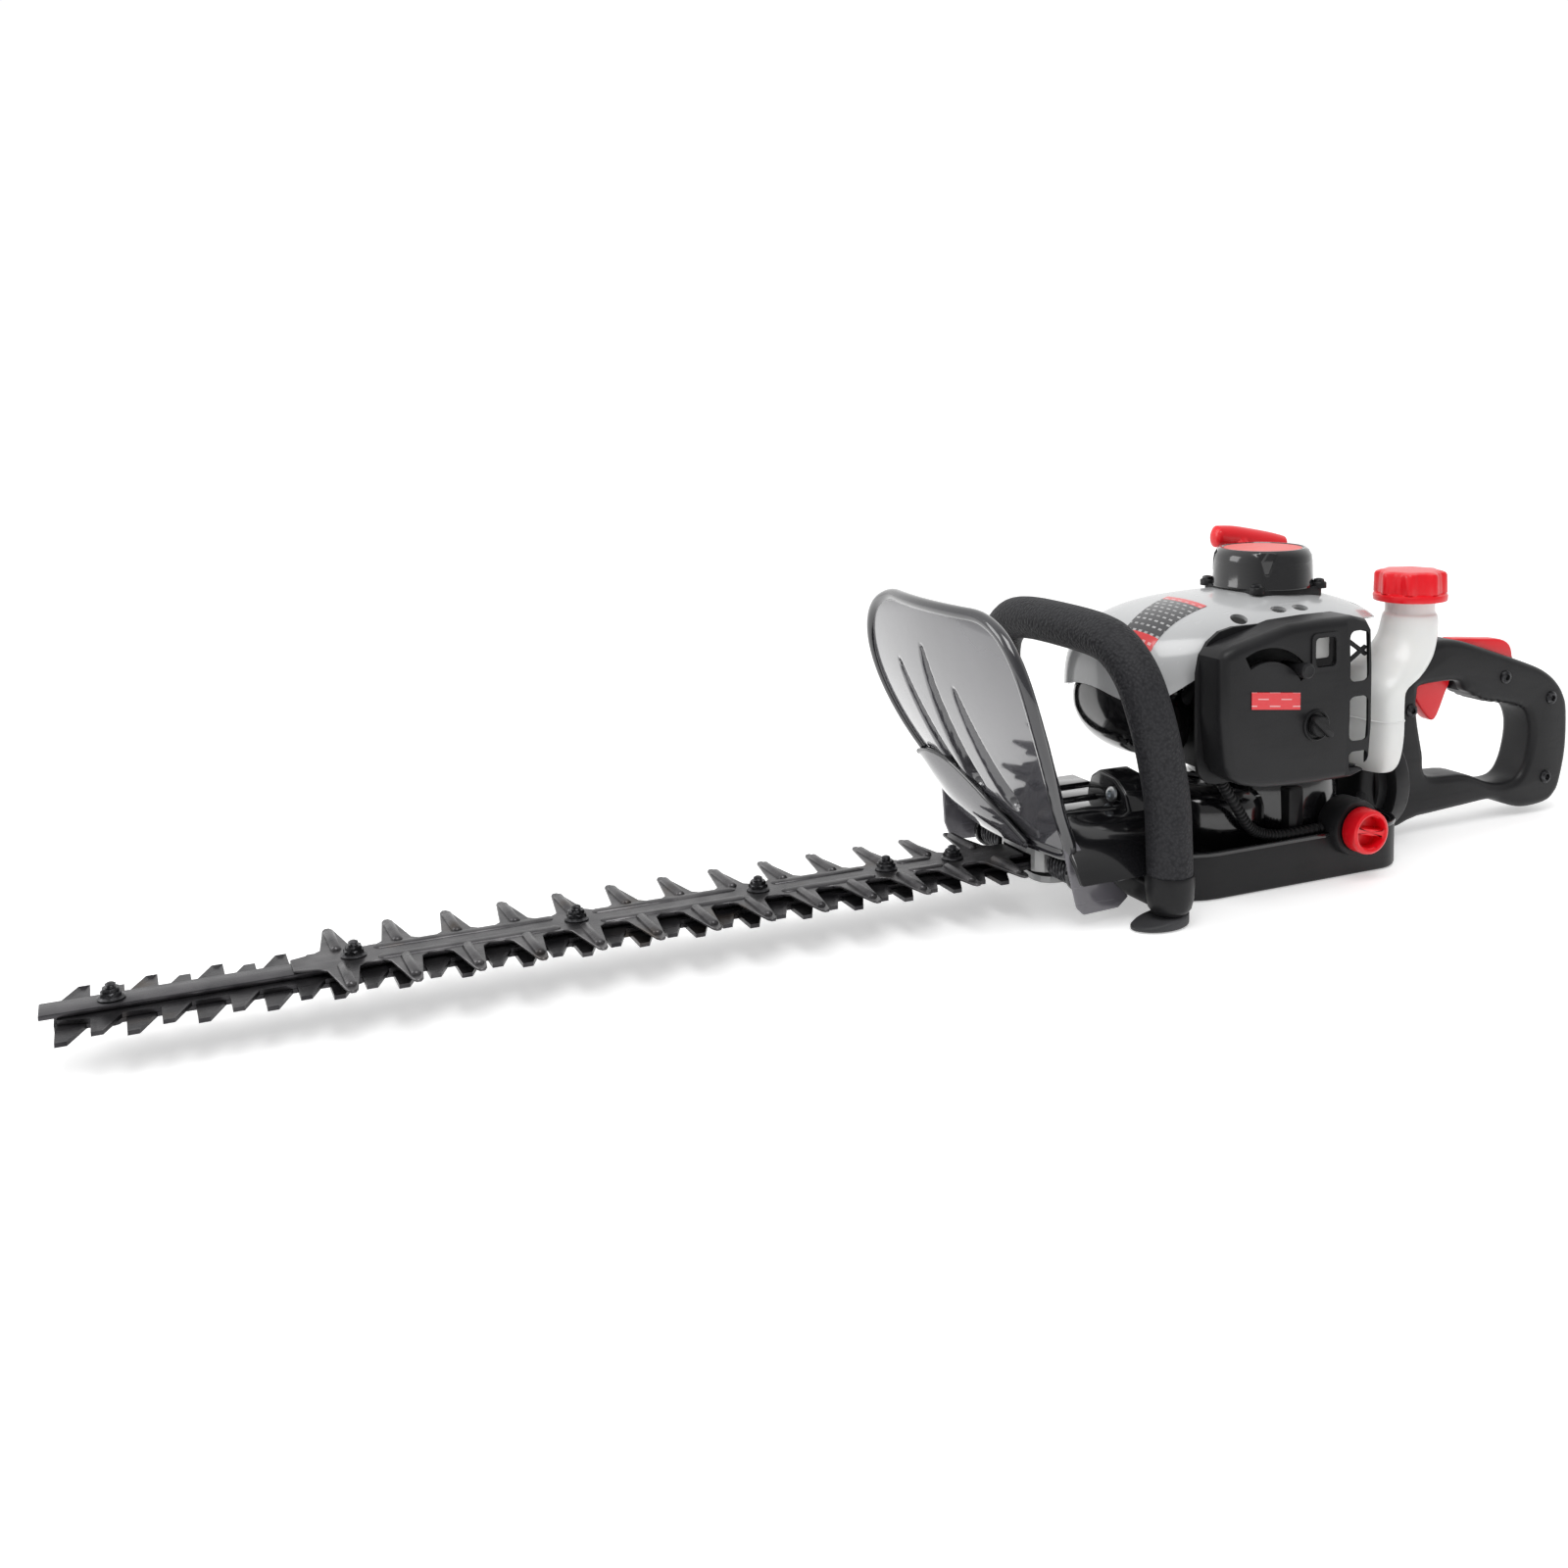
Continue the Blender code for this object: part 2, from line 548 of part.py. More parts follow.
def air_filter():
    base = plate("air_filter_base", "black_satin", [filter_outline(0.0032)], -0.0765, -0.0735, upright=True)
    cut(base, drum("filter_throat", None, 0.009, 0.06, 0.09, at=(-0.046, 0, 0.106), axis=(0, -1, 0),
        sides=20))
    foam = rounded(-0.092, -0.046, 0.089, 0.124, (0.004,) * 4, 2)
    plate("air_filter_element", "filter_foam", [foam], -0.0900, -0.0770, upright=True)
    cover = plate("air_filter_cover", "black_satin", [filter_outline(0.0)], FILTER_FACE_Y, -0.0735,
        upright=True)
    edge = cover.modifiers.new("rounded_rim", "BEVEL")
    edge.width = 0.006
    edge.segments = 3
    edge.limit_method = "ANGLE"
    edge.angle_limit = math.radians(60)
    hollow = plate("filter_hollow", None, [filter_outline(0.0029)], FILTER_FACE_Y + 0.0026, -0.070,
        upright=True)
    screw_hole = drum("filter_screw_hole", None, 0.0035, 0.080, 0.110, at=(-0.038, 0, 0.119),
        axis=(0, -1, 0), sides=16)
    pivot_x, pivot_z, radius = CHOKE_PIVOT[0], CHOKE_PIVOT[2], CHOKE_RADIUS
    outline = arc((pivot_x, pivot_z), radius + 0.0055, 32, 118, 10) + arc((pivot_x, pivot_z),
        radius - 0.0055, 118, 32, 10)
    choke_slot = plate("choke_slot", None, [outline], -0.110, -0.090, upright=True)
    cut(cover, hollow, screw_hole, choke_slot)


def choke_lever():
    """A flat arm on a pivot behind the cover, whose tab comes out through the curved slot."""
    lever = drum("choke_lever", "black_satin", 0.006, 0.0769, 0.0880, at=CHOKE_PIVOT, axis=(0, -1, 0),
        sides=16)
    arm = block("choke_arm", None, (0.0, -0.0875, -0.003), (CHOKE_RADIUS + 0.002, -0.0815, 0.003),
        at=CHOKE_PIVOT)
    tab = block("choke_tab", None, (CHOKE_RADIUS - 0.0042, -0.108, -0.004),
        (CHOKE_RADIUS + 0.0042, -0.083, 0.004), 0.001, at=CHOKE_PIVOT)
    for piece in (arm, tab):
        piece.rotation_euler = (0, -math.radians(CHOKE_REST), 0)
    join(lever, arm, tab)


def filter_cover_knob():
    at = (-0.038, 0, 0.119)
    knob = drum("filter_cover_knob", "black_satin", 0.0072, 0.1003, 0.1085, at=at, axis=(0, -1, 0),
        sides=24)
    shank = drum("knob_screw", None, 0.003, 0.0785, 0.1010, at=at, axis=(0, -1, 0), sides=12)
    wing = block("knob_wing", None, (-0.0085, -0.1120, -0.0018), (0.0085, -0.1040, 0.0018), 0.0008, at=at)
    wing.rotation_euler = (0, math.radians(40), 0)
    join(knob, shank, wing)


# ---------------------------------------------------------------- engine covers

def hood(name, finish, sections, thickness):
    """An open-bottomed shell over X: sections hold (x, half width, lower z, top z) with rounded shoulders."""
    shape = bmesh.new()
    rows = []
    for x, half, low, top in sections:
        shoulder = min(0.5 * (top - low), 0.45 * half, 0.028)
        side = [(-half, low), (-half, top - shoulder), (-half + 0.3 * shoulder, top - 0.3 * shoulder),
            (-half + shoulder, top), (-0.35 * half, top)]
        profile = side + [(-y, z) for y, z in side[::-1]]
        rows.append([shape.verts.new((x, y, z)) for y, z in profile])
    for first, second in zip(rows, rows[1:]):
        for i in range(len(first) - 1):
            shape.faces.new((first[i], second[i], second[i + 1], first[i + 1]))
    shape.faces.new(rows[0])
    shape.faces.new(rows[-1][::-1])
    bmesh.ops.recalc_face_normals(shape, faces=shape.faces[:])
    part = from_bmesh(name, shape, finish, (0, 0, 0))
    shell = part.modifiers.new("wall", "SOLIDIFY")
    shell.thickness = thickness
    shell.offset = -1.0
    return part


def shroud():
    """Light grey top cover over the engine, with the recoil starter's seat and its cooling openings."""
    sections = (
        (NOSE_X, 0.034, 0.150, 0.166), (-0.138, 0.048, 0.143, 0.1765), (-0.120, 0.060, 0.136,
            0.186), (-0.095, 0.068, 0.130, 0.193),
        (-0.060, SHROUD_HALF, 0.125, SHROUD_TOP_Z), (0.000, SHROUD_HALF, 0.125, SHROUD_TOP_Z), (0.040,
            0.070, 0.128, 0.190),
        (0.075, 0.066, 0.140, 0.180), (0.090, 0.060, 0.150, 0.172),
    )
    cover = hood("shroud_upper", "grey_gloss", sections, WALL)
    eye = drum("fan_eye", None, 0.030, 0.170, 0.205, sides=28)
    neck_space = drum("tank_neck_space", None, 0.030, 0.120, 0.210, at=(0.100, -0.034, 0), sides=28)
    cut(cover, eye, neck_space)
    for i, x in enumerate((-0.108, -0.096)):
        slot_hole = drum(f"cooling_hole_{i}", None, 0.0045, 0.05, 0.09, at=(x, 0, 0.152), axis=(0, 1, 0),
            sides=12)
        cut(cover, slot_hole)


def shroud_lower_front():
    """Black front skirt under the grey cover, round the cylinder and its plug."""
    outer = [(-0.1458, 0.147), (-0.1418, 0.1312), (-0.1325, 0.1142), (-0.1180, 0.0995), (-0.0970, 0.0893),
        (-0.0880, 0.0866),
             (-0.0880, 0.1170), (-0.0900, 0.1200), (-0.1080, 0.1315), (-0.1250, 0.1370)]
    inner = [(-0.1433, 0.150), (-0.1393, 0.1322), (-0.1303, 0.1157), (-0.1165, 0.1016), (-0.0960, 0.0917),
        (-0.0690, 0.0840),
             (-0.0600, 0.0980), (-0.0800, 0.1400), (-0.1250, 0.1600)]
    skirt = plate("shroud_lower_front", "black_gloss", [outer], -0.040, 0.040, upright=True)
    cut(skirt, plate("skirt_hollow", None, [inner], -0.0375, 0.0375, upright=True))


def recoil_housing():
    """Round black cap of the pull starter, open below."""
    r, top = RECOIL_RADIUS, RECOIL_TOP_Z
    profile = ((r - 0.0065, top), (r - 0.0030, top - 0.0015), (r - 0.0005, top - 0.0055),
        (r, RECOIL_Z - 0.0004), (r - 0.0025, RECOIL_Z - 0.0004), (r - 0.0030, top - 0.0065),
        (r - 0.0045, top - 0.0035), (r - 0.0075, top - 0.0030))
    cap = turned("recoil_housing", "black_gloss", profile, sides=28)
    lid = drum("recoil_lid", None, r - 0.0060, top - 0.0030, top, sides=28)
    join(cap, lid)
    outlet = block("rope_outlet", None, (ROPE_X - 0.0045, 0.020, 0.2062), (ROPE_X + 0.0045, 0.050, 0.2170))
    cut(cap, outlet)


def recoil_reel():
    turned("recoil_reel", "black_satin", ((0.0265, 0.2180), (0.0265, 0.2160), (0.022, 0.2150),
        (0.022, 0.2080), (0.0265, 0.2070), (0.0265, 0.2050), (0.004, 0.2050), (0.004, 0.2180)), sides=24)


def starter_grip():
    """T-shaped pull grip lying across the rope's outlet."""
    slope = Vector((0.0345, 0.0, -0.0065))
    middle = Vector(GRIP_AT)
    line = [middle - slope, middle - 0.8 * slope, middle + 0.8 * slope, middle + slope]
    grip = rod("starter_grip", "red_plastic", line, 0.0080, 3)
    stem = drum("grip_stem", None, 0.0070, -0.0160, 0.0, at=GRIP_AT, axis=(0, 1, 0), sides=20)
    join(grip, stem)
    cut(grip, drum("grip_rope_hole", None, 0.0022, -0.020, -0.006, at=GRIP_AT, axis=(0, 1, 0), sides=12))


def starter_rope():
    end = Vector(GRIP_AT) - Vector((0, 0.0080, 0))
    inside = [(ROPE_X, 0.0140, ROPE_Z), (ROPE_X, 0.0270, ROPE_Z + 0.0002),
        (ROPE_X + 0.0040, 0.0345, ROPE_Z + 0.0045)]
    straight = [end - Vector((0, back, 0)) for back in (0.0115, 0.0060, 0.0)]
    rod("starter_rope", "rope", smooth_path(inside + straight, 2), 0.0017, 2)


# ---------------------------------------------------------------- fuel tank

def fuel_tank():
    """Blow-moulded tank behind the engine; its neck leans back and carries the cap."""
    tank = block("fuel_tank", "white_tank", (0.0535, -0.062, 0.062), (0.0855, 0.052, 0.124), 0.012,
        segments=2)
    shoulder = block("tank_shoulder", None, (0.058, -0.056, 0.110), (0.096, -0.008, 0.150), 0.012,
        segments=2)
    neck = drum("tank_neck", None, 0.0205, 0.125, 0.1705, at=(CAP_AT[0] - 0.002, CAP_AT[1], 0), sides=28)
    collar = drum("tank_collar", None, 0.0180, 0.165, CAP_AT[2] - GAP, at=(CAP_AT[0], CAP_AT[1], 0),
        sides=28)
    under = block("neck_relief", None, (0.1002, -0.070, 0.120), (0.140, 0.02, 0.1475))
    cut(neck, under)
    join(tank, shoulder, neck, collar)
    cut(tank, drum("collar_relief", None, SWIVEL_RADIUS + 0.0015, 0.0775, 0.110, at=(0, 0, SWIVEL_Z),
        axis=(1, 0, 0), sides=36))


def fuel_cap():
    """Screw cap with finger lobes on a wide flange."""
    cap = drum("fuel_cap", "red_plastic", CAP_RADIUS, 0.0, 0.0050, at=CAP_AT, sides=32)
    lobes = []
    for i in range(48):
        angle = 2 * math.pi * i / 48
        r = 0.0205 + 0.0022 * math.cos(6 * angle)
        lobes.append((r * math.cos(angle), r * math.sin(angle)))
    join(cap, plate("cap_lobes", None, [lobes], 0.0040, 0.0220, at=CAP_AT))


# ---------------------------------------------------------------- base and rear handle

def base_housing():
    """Black tray under the engine, with the gear case's mouth and the swivel's socket."""
    outer = rounded(BASE_FRONT_X, BASE_REAR_X, -BASE_HALF, BASE_HALF, (0.045, 0.0245, 0.0245, 0.045), 6)
    base = plate("base_housing", "black_satin", [outer], 0.0, BASE_TOP_Z)
    inner = rounded(BASE_FRONT_X + 0.003, BASE_REAR_X - 0.003, -BASE_HALF + 0.003, BASE_HALF - 0.003,
        (0.042, 0.0215, 0.0215, 0.042), 6)
    pocket = plate("base_pocket", None, [inner], 0.0035, 0.040)
    mouth = block("base_mouth", None, (BASE_FRONT_X - 0.002, -0.029, 0.0125),
        (BASE_FRONT_X + 0.005, 0.029, 0.040))
    cut(base, pocket, mouth)
    pillar = block("swivel_pillar", None, (0.060, -0.030, 0.0030), (0.0845, 0.030, 0.058), 0.003)
    boss = drum("swivel_boss", None, 0.0335, 0.0780, 0.0862, at=(0, 0, SWIVEL_Z), axis=(1, 0, 0), sides=36)
    seat = drum("release_seat", None, 0.0190, -0.0115, -GAP, at=RELEASE_AT, axis=(0, -1, 0), sides=28)
    join(base, pillar, boss, seat)


def swivel_collar():
    """Fixed ring that the rear handle turns in, with the index notches behind it."""
    turned("swivel_collar", "black_satin", ((0.037, 0.0165), (0.0405, 0.0140), (0.0415, 0.0),
        (0.012, 0.0), (0.012, 0.0165)), at=(0.0866, 0, SWIVEL_Z), axis=(1, 0, 0), sides=36)


OUTER = ((0.1040, 0.0100), (0.1040, 0.0860), (0.1120, 0.1060), (0.1240, 0.1260), (0.1380, 0.1390),
    (0.1520, 0.1440), (0.1650, 0.1440),
         (0.1780, 0.1415), (0.1980, 0.1350), (0.2386, 0.1207), (0.2600, 0.1120), (0.2740,
             0.1020), (0.2820, 0.0910), (0.2856, 0.0780),
         (0.2850, 0.0480), (0.2800, 0.0220), (0.2740, 0.0120), (0.2640, 0.0065), (0.2420,
             0.0055), (0.2250, 0.0100), (0.2095, 0.0160),
         (0.1815, 0.0150), (0.1356, 0.0125))
INNER = ((0.1445, 0.0430), (0.1390, 0.0620), (0.1330, 0.0900), (0.1330, 0.1060), (0.1380, 0.1120),
    (0.1720, 0.1120), (0.1800, 0.1040),
         (0.1890, 0.1000), (0.2020, 0.0945), (0.2190, 0.0912), (0.2345, 0.0872), (0.2430,
             0.0810), (0.2475, 0.0700), (0.2470, 0.0560),
         (0.2424, 0.0400), (0.2345, 0.0300), (0.2210, 0.0273), (0.2060, 0.0300), (0.1815, 0.0390))


def rear_handle():
    """The D handle's two moulded halves, screwed together on the middle plane."""
    for name, side in (("rear_handle_left", -1), ("rear_handle_right", 1)):
        spread = sorted((side * 0.00015, side * HANDLE_HALF))
        half = plate(name, "black_satin", [OUTER, INNER[::-1]], *spread, upright=True, chamfer=0.003)
        inner_y, outer_y = sorted((0.0, side * 0.0062))
        trigger_space = plate(f"trigger_space_{side}", None,
            [[(0.129, 0.105), (0.184, 0.100), (0.184, 0.126), (0.165, 0.1335),
            (0.129, 0.133)]], inner_y, outer_y, upright=True)
        lever_space = plate(f"lever_space_{side}", None, [[(0.171, 0.1285), (0.236, 0.1060),
            (0.246, 0.1260), (0.236, 0.150), (0.171, 0.150)]], inner_y, outer_y, upright=True)
        cut(half, trigger_space, lever_space)


def throttle_trigger():
    outline = [(-0.0065, -0.008), (-0.003, -0.0150), (0.003, -0.0250), (0.0100, -0.0340),
        (0.0160, -0.0395), (0.0205, -0.0385), (0.0250, -0.0310),
               (0.0300, -0.0200), (0.0340, -0.0120), (0.0340, -0.0020), (0.0, 0.0058), (-0.0065, 0.0030)]
    plate("throttle_trigger", "red_plastic", [outline], -0.0055, 0.0055, at=TRIGGER_PIVOT, upright=True)


def lock_lever():
    outline = [(-0.0035, -0.0030), (-0.0030, 0.0050), (0.0020, 0.0062), (0.0300, 0.0035),
        (0.0470, 0.0015), (0.0560, -0.0035), (0.0590, -0.0120),
               (0.0560, -0.0150), (0.0200, -0.0055), (0.0, -0.0035)]
    plate("lock_lever", "red_plastic", [outline], -0.0055, 0.0055, at=LOCK_PIVOT, upright=True)


def stop_switch():
    """Rocker on the far side of the handle."""
    block("stop_switch", "red_plastic", (0.178, HANDLE_HALF + GAP, 0.118),
        (0.192, HANDLE_HALF + 0.0055, 0.128), 0.001)


def swivel_release():
    """Red knob on the near side of the base that frees the rear handle to turn."""
    at = RELEASE_AT
    knob = drum("swivel_release_knob", "red_plastic", 0.0155, 0.0, 0.0085, at=at, axis=(0, -1, 0), sides=28)
    bar = block("finger_bar", None, (-0.0145, -0.0130, -0.0030), (0.0145, -0.0080, 0.0030), 0.001, at=at)
    join(knob, bar)


# ---------------------------------------------------------------- front handle and guard

def handle_path():
    legs = [(-0.147, 0.052), (-0.149, 0.080), (-0.154, 0.108), (-0.161, 0.135)]
    near = [(x, -LEG_Y, z) for x, z in legs]
    far = [(x, LEG_Y, z) for x, z in legs[::-1]]
    bend = [(-0.1655, -0.083, 0.160), (-0.1675, -0.066, 0.176), (-0.1680, -0.044, 0.182)]
    return near + bend + [(-0.1685, 0.0, 0.1835)] + [(x, -y, z) for x, y, z in bend[::-1]] + far


def front_handle():
    rod("front_handle", "foam_grip", smooth_path(handle_path(), 2), GRIP_RADIUS, 3)


def handle_ends():
    """End caps that clamp the grip's tube, and the rubber foot under each."""
    for name, side in (("left", -1), ("right", 1)):
        y = side * LEG_Y
        cap = drum(f"handle_end_cap_{name}", "black_satin", 0.0175, 0.0085, 0.0500, at=(-0.147, y, 0),
            sides=24, end_radius=0.0190)
        spread = sorted((side * 0.0300, side * 0.0800))
        arm = block(f"cap_arm_{name}", None, (-0.160, spread[0], 0.0090), (-0.1375, spread[1], 0.0195),
            0.002)
        join(cap, arm)
        drum(f"front_foot_{name}", "foot_rubber", 0.0150, 0.0, 0.0082, at=(-0.147, y, 0), sides=24,
            end_radius=0.0172)


GUARD = ((0.020, -0.203, 0.068), (0.052, -0.213, 0.068), (0.075, -0.225, 0.076), (0.095, -0.2375, 0.090),
    (0.120, -0.249, 0.0995), (0.145, -0.259, 0.103),
         (0.170, -0.2655, 0.100), (0.190, -0.2690, 0.091), (0.2045, -0.2705, 0.068))


def hand_guard():
    """Smoked plate that leans forward in front of the hand, with a shelf back to the gear case."""
    shape = bmesh.new()
    rows = []
    for z, x, half in GUARD:
        rows.append([shape.verts.new((x + 0.006 * (k / 4) ** 2, half * k / 4, z)) for k in range(-4, 5)])
    for first, second in zip(rows, rows[1:]):
        for i in range(8):
            shape.faces.new((first[i], first[i + 1], second[i + 1], second[i]))
    bmesh.ops.recalc_face_normals(shape, faces=shape.faces[:])
    guard = from_bmesh("hand_guard", shape, "smoke_gloss", (0, 0, 0))
    wall = guard.modifiers.new("wall", "SOLIDIFY")
    wall.thickness = 0.003
    wall.offset = 0.0
    shelf = block("guard_shelf", None, (-0.224, -0.047, 0.0640), (-0.128, 0.047, 0.0672), 0.001)
    foot = block("guard_foot", None, (-0.1700, -0.020, 0.0523), (-0.1300, 0.020, 0.0655), 0.002)
    opening = block("guard_blade_mouth", None, (-0.230, -0.059, 0.0), (-0.190, 0.059, 0.0535))
    cut(guard, opening)
    join(guard, shelf, foot)


def anti_vibration_springs():
    """Short coil springs, axis across the machine, between the gear case nose and the guard's skirt."""
    for name, side in (("left", -1), ("right", 1)):
        points = []
        turns, coils = 8, 3.5
        for i in range(int(turns * coils) + 1):
            angle = 2 * math.pi * i / turns
            y = side * (0.0305 + 0.0245 * i / (turns * coils))
            points.append((-0.1915 + 0.0085 * math.cos(angle), y, 0.0300 + 0.0085 * math.sin(angle)))
        rod(f"av_spring_{name}", "dark_bolt", points, 0.0014, 0)


def throttle_cable():
    """Cable and switch leads in one corrugated sleeve, from the carburettor down to the swivel."""
    route = [(-0.070, -0.0640, 0.0745), (-0.067, -0.0610, 0.0640), (-0.062, -0.0590, 0.0520),
        (-0.054, -0.0590, 0.0430), (-0.040, -0.0600, 0.0390),
             (-0.020, -0.0600, 0.0385), (0.005, -0.0590, 0.0385), (0.028, -0.0560, 0.0390), (0.045,
                 -0.0500, 0.0410), (0.0560, -0.0420, 0.0450)]
    rod("throttle_cable", "black_satin", smooth_path(route, 2), 0.0034, 2)


guide_bar()
comb_guard()
blade("upper_blade", UPPER_FIRST_X, UPPER_TEETH, 0, UPPER_FIRST_X - TOOTH_ROOT - 0.001, UPPER_Z,
    BAR_Z - GAP, 1)
blade("lower_blade", LOWER_FIRST_X, LOWER_TEETH, 1, LOWER_FIRST_X - 0.0006, LOWER_Z, UPPER_Z - GAP, -1)
blade_bolts()
gear_case()
gear_case_cover()
drive_gear()
gear_arbor()
clutch_drum()
clutch_rotor()
clutch_housing()
crankcase()
cylinder()
piston()
crankshaft()
flywheel_fan()
ignition_coil()
muffler()
carburettor()
spark_plug()
plug_boot()
air_filter()
choke_lever()
filter_cover_knob()
shroud()
shroud_lower_front()
recoil_housing()
recoil_reel()
starter_grip()
starter_rope()
fuel_tank()
fuel_cap()
base_housing()
swivel_collar()
rear_handle()
throttle_trigger()
lock_lever()
stop_switch()
swivel_release()
front_handle()
handle_ends()
hand_guard()
anti_vibration_springs()
throttle_cable()
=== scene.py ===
"""Finished look of the petrol hedge trimmer: every visible piece, in fine mesh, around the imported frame."""

import math

import bmesh
import bpy
from mathutils import Matrix, Vector
from mathutils.bvhtree import BVHTree


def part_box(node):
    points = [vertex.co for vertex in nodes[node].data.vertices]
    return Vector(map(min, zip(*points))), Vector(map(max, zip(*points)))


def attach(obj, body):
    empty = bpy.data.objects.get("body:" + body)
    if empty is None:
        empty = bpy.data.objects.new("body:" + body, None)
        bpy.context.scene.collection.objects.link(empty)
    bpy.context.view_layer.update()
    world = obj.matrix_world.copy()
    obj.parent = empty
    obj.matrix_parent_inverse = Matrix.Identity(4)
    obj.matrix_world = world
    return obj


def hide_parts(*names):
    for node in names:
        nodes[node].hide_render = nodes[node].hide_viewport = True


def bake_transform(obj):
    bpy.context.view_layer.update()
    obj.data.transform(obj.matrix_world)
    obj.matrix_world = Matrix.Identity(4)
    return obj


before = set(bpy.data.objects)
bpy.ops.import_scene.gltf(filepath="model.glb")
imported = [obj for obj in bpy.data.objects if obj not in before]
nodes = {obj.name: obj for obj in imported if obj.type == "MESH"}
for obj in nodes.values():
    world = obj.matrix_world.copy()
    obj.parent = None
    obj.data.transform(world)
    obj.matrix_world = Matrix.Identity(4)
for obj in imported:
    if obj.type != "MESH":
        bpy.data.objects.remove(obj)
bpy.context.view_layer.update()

# ---------------------------------------------------------------- studio
# The camera stands low beyond the blade's tip, on the side of the air filter, turned towards
# the engine. A pale floor, faintly lit from within, lies under a sky that is white behind the
# machine and darker behind the camera, with one broad lamp above and one in front.

camera_spot = Vector((-0.7602, -0.9185, 0.3623))
camera_yaw, camera_pitch, camera_roll = math.radians(23.05), math.radians(6.53), math.radians(-1.472)
lens = bpy.data.cameras.new("camera")
lens.sensor_width = 36.0
lens.lens = 37.216
lens.shift_y = -0.15
camera = bpy.data.objects.new("camera", lens)
aim = Matrix.Rotation(-camera_yaw, 4, "Z") @ Matrix.Rotation(math.pi / 2 - camera_pitch, 4, "X")
camera.matrix_world = Matrix.Translation(camera_spot) @ aim @ Matrix.Rotation(camera_roll, 4, "Z")
bpy.context.scene.collection.objects.link(camera)
bpy.context.scene.camera = camera
bpy.context.scene.view_settings.view_transform = "Standard"

sky = bpy.data.worlds.new("sky")
sky.use_nodes = True
background = sky.node_tree.nodes["Background"]
background.inputs["Color"].default_value = (1.0, 1.0, 1.0, 1.0)
heading = sky.node_tree.nodes.new("ShaderNodeTexCoord")
apart = sky.node_tree.nodes.new("ShaderNodeSeparateXYZ")
fade = sky.node_tree.nodes.new("ShaderNodeMapRange")
for socket, value in (("From Min", -0.75), ("From Max", 0.25), ("To Min", 0.4), ("To Max", 1.03)):
    fade.inputs[socket].default_value = value
sky.node_tree.links.new(heading.outputs["Generated"], apart.inputs["Vector"])
sky.node_tree.links.new(apart.outputs["Y"], fade.inputs["Value"])
sky.node_tree.links.new(fade.outputs["Result"], background.inputs["Strength"])
bpy.context.scene.world = sky


def softbox(name, spot, target, size, watts):
    """A square area lamp at one point, aimed at another."""
    lamp = bpy.data.lights.new(name, "AREA")
    lamp.size = size
    lamp.energy = watts
    holder = bpy.data.objects.new(name, lamp)
    aim_at = (Vector(target) - Vector(spot)).to_track_quat("-Z", "Y")
    holder.matrix_world = Matrix.Translation(spot) @ aim_at.to_matrix().to_4x4()
    bpy.context.scene.collection.objects.link(holder)


softbox("lamp_above", (-0.5, -0.7, 1.7), (-0.1, 0.0, 0.1), 1.0, 16.0)
softbox("lamp_front", (-1.6, 0.6, 0.9), (-0.2, 0.0, 0.1), 0.8, 7.0)

floor_shape = bmesh.new()
bmesh.ops.create_grid(floor_shape, x_segments=1, y_segments=1, size=6.0)
floor_mesh = bpy.data.meshes.new("floor")
floor_shape.to_mesh(floor_mesh)
floor_shape.free()
floor_paint = bpy.data.materials.new("floor_paint")
floor_paint.use_nodes = True
floor_shader = floor_paint.node_tree.nodes["Principled BSDF"]
floor_shader.inputs["Base Color"].default_value = (0.8, 0.8, 0.8, 1.0)
floor_shader.inputs["Roughness"].default_value = 0.7
floor_shader.inputs["Emission Color"].default_value = (1.0, 1.0, 1.0, 1.0)
floor_shader.inputs["Emission Strength"].default_value = 0.42
floor_mesh.materials.append(floor_paint)
floor = bpy.data.objects.new("floor", floor_mesh)
floor.location = (0, 0, -0.0005)
bpy.context.scene.collection.objects.link(floor)

# ---------------------------------------------------------------- guide bar and blades
# The bar is a flat steel rail with the two toothed blades under it, all hardened and blued dark.
# The blades are stamped from strip and ground on the flanks of their teeth.

tooth_pitch = 0.035
grind_width = 0.0026


def finish(name, colour, roughness, metallic=0.0, coat=0.0):
    """A Principled material; gives it back with its tree, its shader and the piece's own coordinates."""
    made = bpy.data.materials.new(name)
    made.use_nodes = True
    tree = made.node_tree
    shader = tree.nodes["Principled BSDF"]
    shader.inputs["Base Color"].default_value = (*colour, 1.0)
    shader.inputs["Roughness"].default_value = roughness
    shader.inputs["Metallic"].default_value = metallic
    shader.inputs["Coat Weight"].default_value = coat
    shader.inputs["Coat Roughness"].default_value = 0.06
    place = tree.nodes.new("ShaderNodeTexCoord").outputs["Object"]
    return made, tree, shader, place


def cloud(tree, place, scale, detail=3.0, stretch=(1.0, 1.0, 1.0)):
    """Soft noise, scale waves a metre, drawn out along an axis by a low stretch."""
    mapping = tree.nodes.new("ShaderNodeMapping")
    mapping.inputs["Scale"].default_value = stretch
    tree.links.new(place, mapping.inputs["Vector"])
    noise = tree.nodes.new("ShaderNodeTexNoise")
    noise.inputs["Scale"].default_value = scale
    noise.inputs["Detail"].default_value = detail
    tree.links.new(mapping.outputs["Vector"], noise.inputs["Vector"])
    return noise.outputs["Fac"]


def spread(tree, value, low, high, out_low=0.0, out_high=1.0):
    """Stretch the range low to high over out_low to out_high."""
    ranged = tree.nodes.new("ShaderNodeMapRange")
    ranged.inputs["From Min"].default_value = low
    ranged.inputs["From Max"].default_value = high
    ranged.inputs["To Min"].default_value = out_low
    ranged.inputs["To Max"].default_value = out_high
    tree.links.new(value, ranged.inputs["Value"])
    return ranged.outputs["Result"]


